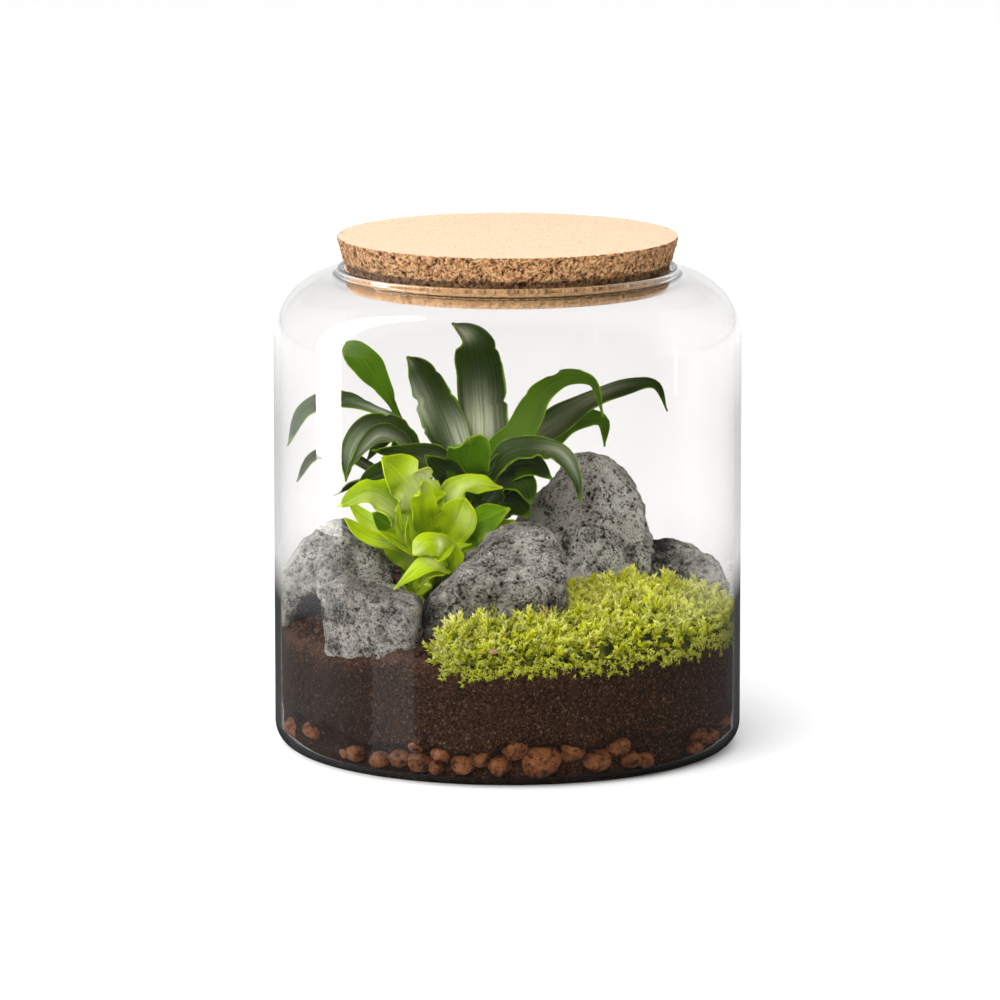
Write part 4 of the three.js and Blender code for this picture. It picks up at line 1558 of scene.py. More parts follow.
@dataclass
class Moss:
    """The moss carpet: a mat, dark with painted shade, with thousands of small leafy sprigs on it.

    Places on it are shares: across from its left end to its right end, and back from the glass to the
    stones. clumps are where tall sprigs gather, and seen_flakes where the larger dry flakes lie.
    """

    ground: Ground
    rise: float = 0.007
    tuft: float = 0.0016
    start: float = -106.5
    end: float = -2
    front_radius: float = FILL_RADIUS - 0.0006
    mat_columns: int = 110
    mat_rows: int = 34
    mat_drop: float = 0.0016
    mat_thickness: float = 0.004
    sprigs: int = 3500
    tall_sprigs: int = 300
    fringe_sprigs: int = 800
    low_heights: Pair = (0.0044, 0.0078)
    tall_heights: Pair = (0.0060, 0.0115)
    fringe_heights: Pair = (0.0028, 0.0046)
    flakes: int = 32
    seen_flake: float = 0.0028
    small_flakes: Pair = (0.0006, 0.0016)
    clumps: tuple[Pair, ...] = (
        (0.07, 0.9), (0.167, 0.95), (0.28, 0.96), (0.61, 0.96), (0.885, 0.97))
    seen_flakes: tuple[Pair, ...] = (
        (0.62, 0.45), (0.24, 0.3), (0.13, 0.12), (0.7, 0.85), (0.45, 0.2), (0.85, 0.6))
    fringe_drop: float = 0.0065
    back_edge: tuple[Point, ...] = (
        (-0.029, -0.090, 0), (-0.020, -0.083, 0), (-0.006, -0.074, 0), (0.012, -0.065, 0),
        (0.021, -0.050, 0), (0.027, -0.027, 0), (0.040, -0.013, 0), (0.054, -0.003, 0),
        (0.066, 0.003, 0), (0.080, 0.004, 0), (0.093, 0.010, 0))

    def place(self, across: Array, back: Array) -> Array:
        """Give places on the carpet seen from above.

        Args:
            across: from 0 at the left end to 1 at the right end.
            back: from 0 at the glass to 1 at the stones.

        Returns:
            The places, at height 0.
        """
        angle = np.radians(self.start + (self.end - self.start) * across)
        front = self.front_radius * np.stack([np.cos(angle), np.sin(angle), 0 * angle], axis=-1)
        far = Curve(list(self.back_edge)).point(across)
        return front + (far - front) * back[..., None]

    def top(self, across: Array, back: Array, spots: Array) -> Array:
        """Give the height of the carpet's tufted top.

        Args:
            across: Share from its left end.
            back: Share from its front edge.
            spots: The places themselves.

        Returns:
            The heights.
        """
        ends = np.minimum(1, np.minimum(8 * across + 0.35, 8 * (1 - across) + 0.35))
        edge = np.minimum(1, np.minimum(5 * back + 0.45, 5 * (1 - back) + 0.3))
        x, y = spots[..., 0] * 1000, spots[..., 1] * 1000
        tufts = np.sin(x * 0.62 + 0.8 * np.sin(y * 0.4)) * np.sin(y * 0.66 + x * 0.1)
        return (self.ground.height(spots[..., 0], spots[..., 1]) + self.rise * np.sqrt(ends * edge)
                + self.tuft * tufts)

    def build(self) -> None:
        """Build the mat, the sprigs and the bits that lie on them."""
        self.build_mat()
        rng = np.random.default_rng(61)
        self.build_sprigs(rng, "moss_sprigs", self.sprigs, self.low_heights, False)
        self.build_sprigs(rng, "moss_tall_sprigs", self.tall_sprigs, self.tall_heights, True)
        self.build_fringe(rng)
        self.build_bits(rng)

    def build_mat(self) -> None:
        """Build the mat under the sprigs, from the top down into the soil."""
        piece = added(bpy.ops.mesh.primitive_grid_add, "moss_mat", x_subdivisions=self.mat_columns,
                      y_subdivisions=self.mat_rows, size=1)
        flat = places_of(piece)
        across, back = flat[:, 0] + 0.5, flat[:, 1] + 0.5
        spots = self.place(across, back)
        spots[:, 2] = self.top(across, back, spots) - self.mat_drop + 0.0007 * fractal(spots, 0.003, 2, 67)
        move_to(piece, spots)
        apply_modifier(piece, "SOLIDIFY", thickness=self.mat_thickness, offset=-1)
        points = places_of(piece)
        # Painted shade: the mat under the sprigs takes the dark foot colour.
        mark(piece, "height", 0.08 + 0.10 * value_noise(points, 0.003, 71))
        mark(piece, "tone", 0.94 + 0.05 * value_noise(points, 0.006, 73))
        smooth_shaded(piece)
        dress(piece, Finish.MOSS)
        install(piece, "moss", "moss_carpet")

    def sprig_model(self, leaflets: int, seed: int) -> Piece:
        """Make one sprig: a slim shoot with pointed leaflets round it, 1 high.

        Args:
            leaflets: how many leaflets it has.
            seed: how they are turned.

        Returns:
            The model, made of triangles, with its foot at the origin.
        """
        rng = np.random.default_rng(seed)
        cone = bpy.ops.mesh.primitive_cone_add
        made = [added(cone, "shoot", vertices=3, radius1=0.07, depth=1, location=(0, 0, 0.5))]
        for k in range(leaflets):
            share = (k + 0.6) / (leaflets + 0.6)
            heading = k * 2.4 + rng.uniform(-0.3, 0.3)
            lean = 1.05 - 0.6 * share
            length = (0.46 if leaflets > 9 else 0.6) - 0.2 * share
            along = np.array((math.sin(lean) * math.cos(heading), math.sin(lean) * math.sin(heading),
                              math.cos(lean)))
            middle = np.array((0, 0, 0.12 + 0.74 * share)) + along * length / 2
            turn = Vector(along).to_track_quat("Z", "Y").to_euler()
            made.append(added(cone, "leaflet", vertices=3, radius1=0.11, depth=length,
                              location=tuple(middle), rotation=turn))
        model = joined(made, "sprig_model")
        points = places_of(model)
        points[:, 0] += 0.28 * points[:, 2] ** 2
        move_to(model, points)
        return model

    def build_sprigs(self, rng: np.random.Generator, name: str, count: int,
                     sizes: Pair, tall: bool) -> None:
        """Plant sprigs all over the mat.

        Args:
            rng: the random numbers.
            name: the piece's name.
            count: how many sprigs.
            sizes: the least and the greatest height of one.
            tall: whether they stand up out of the rest, more of them by the stones.
        """
        model = self.sprig_model(16 if tall else 12, 5)
        across = rng.random(count)
        across = np.where((across < 0.24) & (rng.random(count) < 0.68), rng.random(count), across)
        back = rng.random(count) ** (0.5 if tall else 0.75)
        if tall:
            clump = np.array(self.clumps)[rng.integers(0, len(self.clumps), count)]
            gathered = rng.random(count) < 0.45
            across = np.clip(np.where(gathered, clump[:, 0] + rng.normal(0, 0.012, count), across), 0, 1)
            back = np.clip(np.where(gathered, clump[:, 1] + rng.normal(0, 0.03, count), back), 0, 1)
        spots = self.place(across, back)
        spots[:, :2] += 0.0018 * rng.normal(size=(count, 2))
        sunk = rng.random(count) ** 2
        spots[:, 2] = self.top(across, back, spots) - 0.0015 - 0.0026 * sunk
        size = rng.uniform(*sizes, count)
        tilt = np.abs(rng.normal(0.3 if tall else 0.85, 0.35, count))
        heading = rng.uniform(-np.pi, np.pi, count)
        matrices = turned_matrices(tilt, heading, rng.uniform(-np.pi, np.pi, count), size)
        points = places_of(model)
        # Painted shade: darker towards each sprig's foot and middle, partly its own colour, and darker in
        # sprigs sunk among the rest.
        shade = np.clip(0.05 + 0.75 * points[:, 2] + 0.55 * reach_of(points), 0, 1)[None]
        shade = shade * (rng.uniform(0.75, 1.25, count) * (1 - 0.7 * sunk))[:, None]
        patches = 0.5 + 0.5 * value_noise(spots, 0.007, 79)
        tone = np.clip(0.35 * rng.random(count) + 0.65 * patches, 0, 0.9)
        tone = np.where(rng.random(count) < 0.02, 1.0, tone)
        strew(model, name, matrices, spots, {"height": shade, "tone": tone}, Finish.MOSS, "moss")

    def build_fringe(self, rng: np.random.Generator) -> None:
        """Let sprigs hang over the carpet's front edge along the glass.

        Args:
            rng: Where the draws come from.
        """
        count = self.fringe_sprigs
        model = self.sprig_model(7, 8)
        across = rng.random(count)
        back = rng.uniform(0.0, 0.035, count)
        spots = self.place(across, back)
        drop = rng.random(count) ** 0.8
        spots[:, 2] = self.top(across, back, spots) - 0.001 - self.fringe_drop * drop
        outward = np.arctan2(spots[:, 1], spots[:, 0])
        spots[:, :2] *= 1 - rng.uniform(0.0, 0.0015, count)[:, None] / FILL_RADIUS
        heading = outward + rng.normal(0, 1.3, count)
        size = rng.uniform(*self.fringe_heights, count)
        matrices = turned_matrices(rng.uniform(0.9, 2.3, count), heading, rng.uniform(-3, 3, count), size)
        heights = places_of(model)[:, 2]
        # Painted shade: sprigs that hang lower are darker.
        shade = np.clip(0.25 + 0.6 * heights, 0, 1)[None] * (1.05 - 0.35 * drop)[:, None]
        tone = np.clip(0.75 - 0.45 * drop + 0.15 * rng.random(count), 0, 0.9)
        marks = {"height": shade, "tone": tone}
        strew(model, "moss_fringe", matrices, spots, marks, Finish.MOSS, "moss")

    def build_bits(self, rng: np.random.Generator) -> None:
        """Drop a few dry flakes on the moss.

        Args:
            rng: Where the draws come from.
        """
        model = added(bpy.ops.mesh.primitive_ico_sphere_add, "flake_model", subdivisions=2, radius=1)
        points = places_of(model)
        points *= (1 + 0.3 * value_noise(points, 0.7, 83))[:, None]
        move_to(model, points * (1, 0.6, 0.28))
        seen = np.array(self.seen_flakes)
        rest = self.flakes - len(seen)
        across = np.concatenate([seen[:, 0], rng.random(rest)])
        back = np.concatenate([seen[:, 1], rng.random(rest)])
        spots = self.place(across, back)
        spots[:, 2] = self.top(across, back, spots) + 0.0012
        size = np.concatenate([np.full(len(seen), self.seen_flake), rng.uniform(*self.small_flakes, rest)])
        tilt, heading, spin = (rng.uniform(low, high, self.flakes)
                               for low, high in ((0, 0.8), (-3, 3), (-3, 3)))
        matrices = turned_matrices(tilt, heading, spin, size)
        smooth_shaded(strew(model, "moss_flakes", matrices, spots, {}, Finish.DEBRIS, "moss"))


# The dracaena

@dataclass
class Leaf:
    """One strap leaf.

    start is where it leaves the stem, as a share of the way up; face is where its upper side looks;
    wave is how far its edges rise and fall; peak is where it is widest, and a larger point makes a
    blunter tip. path lists points of its middle line in millimetres. A leaf with shows_back turns its
    underside to where face looks.
    """

    start: float
    width: float
    face: Pair
    wave: float
    peak: float
    point: float
    path: list[Point]
    shows_back: bool = False

    # Patches of painted sheen, highlights painted into the leaf's colour.
    sheens: tuple[tuple[float, float, float, float], ...] = ((0.42, 0.2, 0.42, 0.35),)
    base: float = 0.3
    stalk: float = 1
    cup: float = 0.16
    waves: float = 3.1
    ragged: float = 1
    dip: float = 0
    groove: float = 0.00045

    def line(self, stem: Curve) -> Array:
        """Give the points of the leaf's middle line, in metres, from the stem on."""
        return np.vstack([stem.point(np.array([self.start]))[0], np.array(self.path) / 1000])

    def sheen(self, across: Array, along: Array) -> Array:
        """Tell how strong the blade's painted sheen is, a highlight painted into its colour.
        Each patch: where along, how long, where across, strength.

        Args:
            across: From -1 at one edge to 1 at the other.
            along: Shares of the length.

        Returns:
            How pale each place is.
        """
        total = np.zeros(len(along))
        for middle, length, side, strength in self.sheens:
            total += strength * np.exp(-((along - middle) / length) ** 2 - ((across - side) / 0.3) ** 2)
        return np.clip(total, 0, 1)

    def half_width(self, along: Array) -> Array:
        """Give half the blade's width at shares of its length.

        Args:
            along: The shares.

        Returns:
            Half widths.
        """
        growth = np.sin(np.pi / 2 * np.minimum(along / self.peak, 1)) ** self.stalk
        rising = self.base + (1 - self.base) * growth
        falling = 1 - np.clip((along - self.peak) / (1 - self.peak), 0, 1) ** self.point
        return self.width / 2 * np.where(along < self.peak, rising, np.maximum(falling, 0.06))

    def surface(self, stem: Curve, across: Array, along: Array, seed: int) -> Array:
        """Give points of the blade's middle surface.

        Args:
            stem: the stem that the leaf grows from.
            across: from 0 at one edge to 1 at the other.
            along: from 0 at the stem to 1 at the tip.
            seed: which small unevennesses it has.

        Returns:
            One point for each pair.
        """
        middle, tangent = Curve(self.line(stem)).along(along)
        facing = direction(*self.face)
        upper = facing - tangent * (tangent @ facing)[:, None]
        upper /= np.linalg.norm(upper, axis=1, keepdims=True)
        side = np.cross(tangent, upper)
        reach = across * 2 - 1
        half = self.half_width(along)
        fade = np.sin(np.pi * along)
        wave = self.wave * np.sin(2 * np.pi * self.waves * along + 2 * reach)
        key = np.stack([along * 4, np.sign(reach), 0 * along], axis=-1)
        flutter = 1.5 * self.wave * value_noise(key, 0.38, seed) * fade
        lift = np.abs(reach) ** 1.6 * (self.cup * half + wave * fade) + np.abs(reach) ** 3 * flutter
        depth = self.groove if self.shows_back else -self.groove
        groove = depth * np.exp(-(reach / 0.14) ** 2) * np.minimum(1, half / 0.003)
        notches = smooth(0.25, 0.75, value_noise(key + 5, 0.17, seed + 2))
        swell = 1 + self.ragged * (0.16 * value_noise(key + 9, 0.42, seed + 1) - 0.26 * notches) * fade
        middle = middle - tangent * (self.dip * (1 - np.abs(reach)) ** 2 * smooth(0.7, 1, along))[:, None]
        return middle + side * (reach * half * swell)[:, None] + upper * (lift + groove)[:, None]


@dataclass
class LeafyHead:
    """One head of the dracaena: a stem and the leaves that grow round it."""

    name: str
    node: str
    slot: str
    radius: float
    finishes: tuple[Finish, Finish]
    stem: list[Point]
    leaves: list[Leaf]
    blade: float = 0.0006
    seed: int = 1
    stem_rows: int = 26
    stem_sides: int = 14
    stem_rings: int = 9
    ring_depth: float = 0.07
    columns: tuple[float, ...] = (0, 0.05, 0.14, 0.26, 0.38, 0.46, 0.5, 0.54, 0.62, 0.74, 0.86, 0.95, 1)
    step: float = 0.0017

    def build(self) -> None:
        """Build the stem and all leaves and join them."""
        line = Curve(self.stem)
        made = [self.build_leaf(leaf, line, k) for k, leaf in enumerate(self.leaves)]
        piece = joined([*made, self.build_stem(line)], self.name)
        smooth_shaded(piece, 60)
        install(piece, self.slot, self.node)

    def build_stem(self, line: Curve) -> Piece:
        """Build the ringed stem along its line.

        Args:
            line: The middle of the stem.

        Returns:
            The stem.
        """
        piece = added(bpy.ops.mesh.primitive_cylinder_add, "stem", vertices=self.stem_sides, radius=1,
                      depth=1)
        with edited():
            for k in range(1, self.stem_rows):
                bpy.ops.mesh.select_all(action="SELECT")
                bpy.ops.mesh.bisect(plane_co=(0, 0, k / self.stem_rows - 0.5), plane_no=(0, 0, 1))
        points = places_of(piece)
        share = points[:, 2] + 0.5
        middle, _ = line.along(share)
        rings = self.radius * (1 + self.ring_depth * np.sin(share * 2 * np.pi * self.stem_rings))
        middle[:, :2] += points[:, :2] * rings[:, None]
        move_to(piece, middle)
        dress(piece, *self.finishes)
        piece.data.polygons.foreach_set("material_index", [1] * len(piece.data.polygons))
        return piece

    def build_leaf(self, leaf: Leaf, line: Curve, index: int) -> Piece:
        """Build one leaf from a grid, with its upper side, underside and edge.

        Args:
            leaf: the leaf.
            line: the stem's line.
            index: the leaf's number in its head.

        Returns:
            The blade, closed all round.
        """
        length = float(np.linalg.norm(np.diff(leaf.line(line), axis=0), axis=1).sum())
        rows = max(14, round(length / self.step))
        count = len(self.columns) - 1
        piece = added(bpy.ops.mesh.primitive_grid_add, "blade", x_subdivisions=count, y_subdivisions=rows,
                      size=1)
        flat = places_of(piece)
        across = np.interp(flat[:, 0] + 0.5, np.linspace(0, 1, count + 1), self.columns)
        along = flat[:, 1] + 0.5
        move_to(piece, leaf.surface(line, across, along, self.seed * 50 + index))
        blade_map = piece.data.uv_layers["UVMap"].data
        corner_of = np.empty(len(piece.data.loops), np.int32)
        piece.data.loops.foreach_get("vertex_index", corner_of)
        blade_map.foreach_set("uv", np.stack([across, along], 1)[corner_of].astype(np.float32).ravel())
        finishes = self.finishes[::-1] if leaf.shows_back else self.finishes
        # Store where the painted sheen lies, for the skin to read.
        mark(piece, "sheen", leaf.sheen(across, along))
        apply_modifier(piece, "SOLIDIFY", thickness=self.blade, offset=0, material_offset=1)
        dress(piece, *finishes)
        return piece


# Each leaf's start, width, face, wave, peak, point and path, and what sets it apart from the others
MAIN_LEAVES = [
    Leaf(0.95, 0.0225, (-98, 22), 0.0014, 0.34, 3.2, [(-10, 11, 130), (-11, 19, 149), (-12.5, 18, 163),
         (-15.5, 10, 176), (-23.5, 2, 183.5)], sheens=((0.34, 0.16, 0.42, 1.0), (0.9, 0.08, 0.35, 0.75))),
    Leaf(0.9, 0.018, (-104, 24), 0.0014, 0.42, 3.4, [(-24, 11, 131), (-31, 16, 146), (-38, 12, 160),
         (-43, 5, 166.8)],
         sheens=((0.33, 0.16, 0.72, 0.75), (0.68, 0.16, 0.06, 0.6), (0.97, 0.06, 0.3, 0.6))),
    Leaf(0.8, 0.0185, (-90, 22), 0.0007, 0.66, 7, [(-17, -12, 120), (-16, -25, 134.5), (-16.5, -29, 137.5)],
         True, ragged=0.35, dip=0.0045),
    Leaf(0.9, 0.018, (-112, 12), 0.0008, 0.28, 1, [(4, 6, 132), (14, 9, 149), (25, 10, 157), (36, 8, 156),
         (41, 3, 141)], True),
    Leaf(0.86, 0.0135, (-108, 38), 0.0009, 0.44, 1.5, [(14, 18, 131), (35, 25, 144), (52, 25, 151),
         (64, 22, 152), (69, 19, 141)], sheens=((0.34, 0.18, 0.5, 0.4), (0.66, 0.12, 0.3, 0.3))),
    Leaf(0.82, 0.0135, (-92, 35), 0.0008, 0.5, 1.9, [(17, 26, 128), (30, 31, 135), (41, 31, 135),
         (42, 28, 124)], True),
    Leaf(0.84, 0.014, (-104, 46), 0.0009, 0.42, 1.5, [(0, -12, 127), (13, -20, 131), (22, -25, 130),
         (29, -27, 120), (31, -27, 109)], sheens=((0.76, 0.14, 0.4, 0.4),), ragged=1.6),
    Leaf(0.76, 0.0145, (-75, 20), 0.0008, 0.5, 2.6, [(0, -8, 121), (11, -14, 123), (19, -14, 117)]),
    Leaf(0.66, 0.013, (-75, 30), 0.0006, 0.6, 3.2, [(-2, -8, 115), (7, -16, 115), (10, -20, 107)]),
    Leaf(0.6, 0.015, (-84, 14), 0.001, 0.55, 2.8, [(-6, -4, 112), (6, -10, 116)]),
    Leaf(0.5, 0.015, (-88, 14), 0.001, 0.6, 3, [(-8, -3, 103), (4, -9, 105), (9, -12, 100)]),
    Leaf(0.55, 0.014, (-92, 10), 0.0008, 0.55, 3, [(-26, -6, 104), (-34, -13, 112)]),
    Leaf(0.74, 0.0135, (-95, 20), 0.0013, 0.42, 1.8, [(-26, -10, 121), (-41, -17, 128), (-57.5, -24, 131)]),
    Leaf(0.66, 0.013, (-95, 10), 0.0008, 0.55, 2.6, [(-24, -12, 118), (-30, -20, 124), (-35, -24, 129)]),
    Leaf(0.9, 0.015, (90, 30), 0.0008, 0.45, 1.8, [(-14, 20, 128), (-12, 38, 139), (-10, 56, 132)]),
    Leaf(0.8, 0.014, (60, 40), 0.0008, 0.45, 1.7, [(-2, 22, 116), (12, 40, 121), (24, 54, 112)]),
    Leaf(0.7, 0.014, (95, 45), 0.0008, 0.5, 1.8, [(-20, 20, 104), (-20, 40, 106), (-18, 58, 94)]),
    Leaf(0.78, 0.014, (120, 45), 0.0008, 0.45, 1.7, [(-24, 22, 112), (-34, 40, 116), (-46, 54, 106)]),
]
LEFT_LEAVES = [
    Leaf(0.95, 0.0135, (-80, 25), 0.0007, 0.8, 4, [(-45, 14, 134), (-51, 13, 148), (-60, 10, 162),
         (-71, 8, 172.5)], True, base=0.2, stalk=14),
    Leaf(0.9, 0.0095, (-100, 45), 0.0006, 0.7, 1.8, [(-45, 11, 136), (-58, 10, 143.5), (-74, 7, 148),
         (-87, 3, 144), (-94.5, 0, 129)], sheens=((0.38, 0.16, 0.5, 0.9),), base=0.28, stalk=9),
    Leaf(0.8, 0.006, (-95, 40), 0.0006, 0.7, 1.8, [(-55, 6, 116), (-73, 3, 125.5), (-84, 1, 123.5),
         (-90.5, -1, 113.5)]),
    Leaf(0.85, 0.012, (-96, 25), 0.0012, 0.5, 2.4, [(-47, 5, 134), (-60, -1, 136.5), (-67, -5, 129),
         (-69, -9, 115)], sheens=((0.8, 0.2, 0.5, 0.3),)),
    Leaf(0.85, 0.0095, (-80, 40), 0.0013, 0.5, 1.5, [(-44, -6, 130), (-54, -14, 136.5), (-61, -19, 132),
         (-68.5, -21, 121)], sheens=((0.62, 0.25, 0.4, 0.5),), ragged=2),
    Leaf(0.75, 0.013, (-90, 20), 0.0008, 0.5, 1.8, [(-47, -16, 120), (-58, -22, 119), (-65, -25, 111)]),
    Leaf(0.85, 0.013, (110, 35), 0.0008, 0.45, 1.7, [(-42, 22, 122), (-52, 38, 126), (-62, 50, 114)]),
    Leaf(0.72, 0.012, (130, 50), 0.0008, 0.45, 1.7, [(-46, 16, 106), (-60, 24, 110), (-76, 30, 102)]),
]
YOUNG_LEAVES = [
    Leaf(0.95, 0.0205, (-92, 30), 0.002, 0.55, 2.6, [(-40, -27, 115), (-53, -34, 130)], ragged=1.8,
         sheens=((0.52, 0.11, 0.25, 1.0), (0.6, 0.1, 0.85, 1.0), (0.25, 0.1, 0.5, 0.3))),
    Leaf(0.86, 0.011, (-88, 20), 0.0008, 0.5, 4, [(-35, -33, 105), (-36, -38, 116), (-37, -45, 119.5)],
         sheens=((0.9, 0.09, 0.5, 0.8),)),
    Leaf(0.84, 0.016, (-90, 18), 0.001, 0.62, 4, [(-22, -31, 101), (-18, -35, 112.5)],
         sheens=((0.75, 0.15, 0.7, 0.35),)),
    Leaf(0.78, 0.0155, (-80, 28), 0.0013, 0.5, 2.4, [(-13, -27, 100), (1, -29, 107)], True),
    Leaf(0.66, 0.0145, (-80, 28), 0.0008, 0.55, 2.4, [(-10, -23, 92), (3, -24, 101)]),
    Leaf(0.95, 0.012, (-88, 50), 0.002, 0.45, 2.4, [(-19, -22, 115), (-2, -24, 115)],
         sheens=((0.5, 0.25, 0.5, 0.7),), ragged=1.6),
    Leaf(0.9, 0.017, (-88, 34), 0.0014, 0.46, 2, [(-47, -28, 108), (-59, -35, 115), (-72, -38, 109)],
         sheens=((0.5, 0.3, 0.25, 0.6),)),
    Leaf(0.8, 0.0055, (-88, 15), 0.0003, 0.5, 1.6, [(-45, -34, 98), (-46, -37, 111)]),
    Leaf(0.72, 0.0055, (-88, 15), 0.0003, 0.5, 1.6, [(-41, -34, 94), (-42, -38, 105)]),
    Leaf(0.7, 0.007, (-88, 40), 0.0004, 0.5, 1.8, [(-44, -32, 92), (-55, -37, 99)]),
    Leaf(0.88, 0.01, (-88, 25), 0.0006, 0.6, 2.4, [(-34, -24, 110), (-26, -26, 113)]),
    Leaf(0.74, 0.0075, (-90, 20), 0.0004, 0.66, 2.4, [(-50, -2, 92), (-61, 8, 96), (-69, 14, 103)]),
    Leaf(0.8, 0.0062, (-85, 20), 0.0004, 0.7, 2.4, [(-48, -28, 91.5), (-60, -30, 95.5), (-69, -29, 103)],
         base=0.45),
    Leaf(0.84, 0.013, (-92, 20), 0.001, 0.55, 2.6, [(-44, -18, 94), (-57.5, -20, 103.5)], True),
    Leaf(0.6, 0.013, (-94, 20), 0.0008, 0.55, 2.6, [(-42, -16, 84), (-53.5, -15, 91)]),
    Leaf(0.4, 0.012, (-96, 20), 0.0008, 0.55, 2.6, [(-38, -14, 76), (-46.5, -12, 83.5)], True),
    Leaf(0.6, 0.011, (-92, 20), 0.0006, 0.55, 2.6, [(-14, -16, 86), (0, -19, 94)]),
    Leaf(0.7, 0.01, (-96, 24), 0.0008, 0.55, 2.2, [(-42, -18, 92), (-54, -22, 94)]),
]
SHOOT_LEAVES = [
    Leaf(0.95, 0.0118, (-80, 40), 0.0003, 0.6, 4, [(-23.5, -50, 89), (-26.5, -55, 96.5), (-34, -58, 97.5),
         (-39.5, -60, 92.5)], sheens=((0.98, 0.08, 0.5, 1.0), (0.66, 0.04, 0.4, 1.0)), cup=-0.4),
    Leaf(0.85, 0.0105, (-75, 50), 0.0003, 0.45, 1.6, [(-29, -55, 88.5), (-34, -61.5, 89.5),
         (-40, -64, 85.5), (-47.5, -64, 78.5)], sheens=((0.45, 0.14, 0.5, 0.9),), cup=-0.3),
    Leaf(0.75, 0.01, (-90, 45), 0.0002, 0.5, 3, [(-31, -54, 85), (-35, -60, 84), (-37, -61, 79)]),
    Leaf(0.6, 0.0075, (-90, 45), 0.0002, 0.5, 2, [(-35, -51, 78), (-39, -57, 76), (-44, -61, 80)]),
    Leaf(0.9, 0.005, (-85, 40), 0.0002, 0.5, 1.8, [(-22, -42, 92), (-15, -42, 94)]),
    Leaf(0.9, 0.011, (-85, 50), 0.0002, 0.55, 4, [(-28, -52, 94), (-29, -58, 89)]),
]
MATURE = (Finish.LEAF, Finish.LEAF_BACK)
YOUNG = (Finish.YOUNG, Finish.YOUNG_BACK)
DRACAENA = [
    LeafyHead("mature_head_main", "dracaena_main_head", "leaf_mature", 0.004, MATURE, seed=1,
              stem=[(-0.022, 0.002, 0.042), (-0.02, 0.002, 0.08), (-0.014, 0.002, 0.112)],
              leaves=MAIN_LEAVES),
    LeafyHead("mature_head_left", "dracaena_left_head", "leaf_mature", 0.004, MATURE, seed=2,
              stem=[(-0.038, 0.008, 0.042), (-0.037, 0.008, 0.08), (-0.036, 0.008, 0.114)],
              leaves=LEFT_LEAVES),
    LeafyHead("young_head", "dracaena_young_head", "leaf_young", 0.003, YOUNG, seed=3,
              stem=[(-0.032, -0.018, 0.042), (-0.032, -0.019, 0.07), (-0.031, -0.02, 0.094)],
              leaves=YOUNG_LEAVES),
    LeafyHead("young_shoot", "dracaena_young_shoot", "leaf_young", 0.003, YOUNG, seed=4,
              stem=[(-0.038, -0.034, 0.042), (-0.037, -0.037, 0.062), (-0.031, -0.043, 0.08)],
              leaves=SHOOT_LEAVES),
]


# The studio

@dataclass
class Softbox:
    """A rectangular lamp: where it hangs, which way it shines, its size and its brightness."""

    name: str
    azimuth: float
    distance: float
    height: float
    facing: Pair
    size: Pair
    brightness: float
    lights: bool = True
    glints: bool = True

    def build(self) -> None:
        """Hang the lamp out of the camera's sight. It may only light, or only show in gloss."""
        width, tall = self.size
        lamp = bpy.data.lights.new(self.name, "AREA")
        lamp.shape = "RECTANGLE"
        lamp.size, lamp.size_y = width, tall
        lamp.energy = self.brightness * math.pi * width * tall
        holder = bpy.data.objects.new(self.name, lamp)
        bpy.context.scene.collection.objects.link(holder)
        holder.location = Vector(direction(self.azimuth, 0) * self.distance) + Vector((0, 0, self.height))
        holder.rotation_euler = Vector(direction(*self.facing)).to_track_quat("-Z", "Y").to_euler()
        holder.visible_camera = False
        holder.visible_transmission = False
        holder.visible_diffuse = self.lights
        holder.visible_glossy = self.glints


@dataclass
class CardRow:
    """A widening row of cards on the floor, which the soil's glass mirrors as one upright band."""

    start: Point = (-0.0485, -0.0875, 0)
    heading: float = -148
    first: float = 0.03
    length: float = 0.028
    cards: int = 14
    width: float = 0.022
    widening: float = 0.40
    height: float = 0.001
    brightness: float = 0.6

    def softboxes(self) -> list[Softbox]:
        """Lay the cards one behind the other.

        Returns:
            The cards.
        """
        made = []
        for k in range(self.cards):
            ahead = self.first + self.length * (k + 0.5)
            x, y, _ = np.array(self.start) + direction(self.heading, 0) * ahead
            made.append(Softbox(
                f"front_card_{k + 1}", math.degrees(math.atan2(y, x)), math.hypot(x, y), self.height,
                (self.heading, 89.9), (self.width + self.widening * ahead, self.length), self.brightness,
                lights=False))
        return made


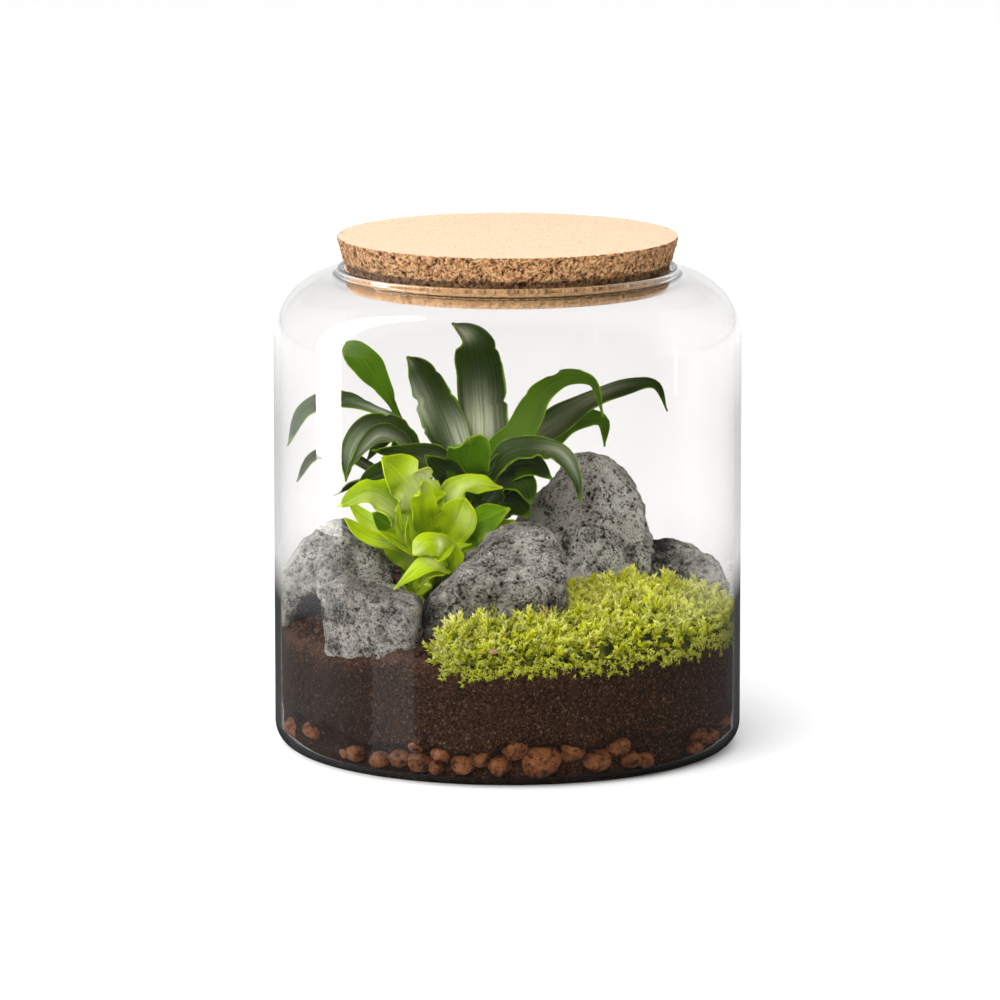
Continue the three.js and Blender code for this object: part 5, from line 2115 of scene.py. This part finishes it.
@dataclass
class Studio:
    """A pale floor in a bright room that is dark behind the camera, soft lamps and the camera."""

    floor_size: float = 40
    floor_tone: Colour = (0.96, 0.96, 0.96)
    floor_in_gloss: Colour = (0.03, 0.03, 0.03)
    dark_reach: Pair = (0.58, 0.38)
    dim_reach: Pair = (1.4, 0.9)
    dark_from_back: Pair = (0.25, -0.10)
    room: float = 0.49
    gloss_at_back: tuple[float, float, float, float] = (-0.35, 0.10, 0.05, 1.0)
    camera_place: Point = (0, -3.0, 0.629)
    camera_pitch: float = 0.17279
    camera_yaw: float = 0.00108
    lens: float = 255.74
    sensor: float = 36
    lamps: tuple[Softbox, ...] = (
        Softbox("key_softbox", -118, 1.15, 1.10, (62, -42), (1.30, 0.75), 5.6, glints=False),
        Softbox("top_softbox", 90, 1.5, 4.5, (0, -90), (12, 12), 0.80, glints=False),
        Softbox("left_strip", 180.9, 0.45, 0.62, (0, 0), (0.14, 1.10), 20.0, lights=False),
        Softbox("left_strip_foot", 180.9, 0.45, 0.052, (0, 0), (0.14, 0.036), 8.0, lights=False),
        Softbox("left_card", 180.9, 0.452, 0.017, (0, 0), (0.14, 0.034), 1.2, lights=False),
        Softbox("right_strip", -8, 0.50, 0.18, (172, 0), (0.02, 0.16), 3.0, lights=False),
        *CardRow().softboxes(),
    )

    def build(self) -> None:
        """Set up the stage, the light and the camera."""
        self.build_floor()
        self.build_room()
        for lamp in self.lamps:
            lamp.build()
        self.build_camera()

    def build_floor(self) -> None:
        """Lay the pale floor. In gloss it is dark at the front and close to the jar."""
        floor = added(bpy.ops.mesh.primitive_plane_add, "studio_floor", size=self.floor_size)
        shader = Shader("pale_floor", Roughness=0.9, Specular_IOR_Level=0.1)
        depth = shader.node("SeparateXYZ", {0: shader.place}).outputs[1]
        reach = shader.node("VectorMath", {0: shader.place}, operation="LENGTH").outputs["Value"]
        shown = shader.node("LightPath").outputs["Glossy Depth"]
        near = shader.math("MAXIMUM", shader.spread(reach, *self.dark_reach),
                           shader.spread(reach, *self.dim_reach, 0, 0.45))
        area = shader.math("MAXIMUM", shader.spread(depth, *self.dark_from_back), near)
        dark = shader.times(shader.spread(shown, 0, 1), area)
        shader.tones = shader.mix(dark, self.floor_tone, self.floor_in_gloss)
        floor.data.materials.append(shader.done())

    def build_room(self) -> None:
        """Light the room evenly. In gloss it is bright at the back and dark behind the camera."""
        world = bpy.data.worlds.new("white_room")
        world.use_nodes = True
        bench = Bench(world.node_tree)
        background = bench.nodes["Background"]
        background.inputs["Color"].default_value = (1, 1, 1, 1)
        way = bench.node("SeparateXYZ", {0: bench.node("TexCoord").outputs["Generated"]}).outputs["Y"]
        low, high, to_low, to_high = self.gloss_at_back
        back = bench.node("MapRange", {"Value": way, "From Min": low, "From Max": high,
                                       "To Min": to_low, "To Max": to_high}).outputs["Result"]
        depth = bench.node("LightPath").outputs["Glossy Depth"]
        shown = bench.node("MapRange", {"Value": depth}).outputs["Result"]
        choice = bench.node("Mix", {0: shown, 2: self.room, 3: back})
        bench.links.new(choice.outputs[0], background.inputs["Strength"])
        bpy.context.scene.world = world
        bpy.context.scene.view_settings.view_transform = "Standard"

    def build_camera(self) -> None:
        """Set the camera at the photograph's viewing angle."""
        data = bpy.data.cameras.new("photo_camera")
        data.lens, data.sensor_width = self.lens, self.sensor
        data.clip_end = 100
        camera = bpy.data.objects.new("photo_camera", data)
        bpy.context.scene.collection.objects.link(camera)
        camera.location = self.camera_place
        camera.rotation_euler = (math.pi / 2 - self.camera_pitch, 0, self.camera_yaw)
        bpy.context.scene.camera = camera


def main() -> None:
    """Build the terrarium, piece by piece, and its studio."""
    logging.basicConfig(level=logging.INFO, format="%(name)s: %(message)s")
    Studio().build()
    ground = Ground()
    Jar().build()
    CorkLid().build()
    PebbleLayer().build()
    Soil(ground).build()
    for k, stone in enumerate(STONES):
        stone.build(STONES[:k])
    Moss(ground).build()
    for head in DRACAENA:
        head.build()


if __name__ == "__main__":
    main()
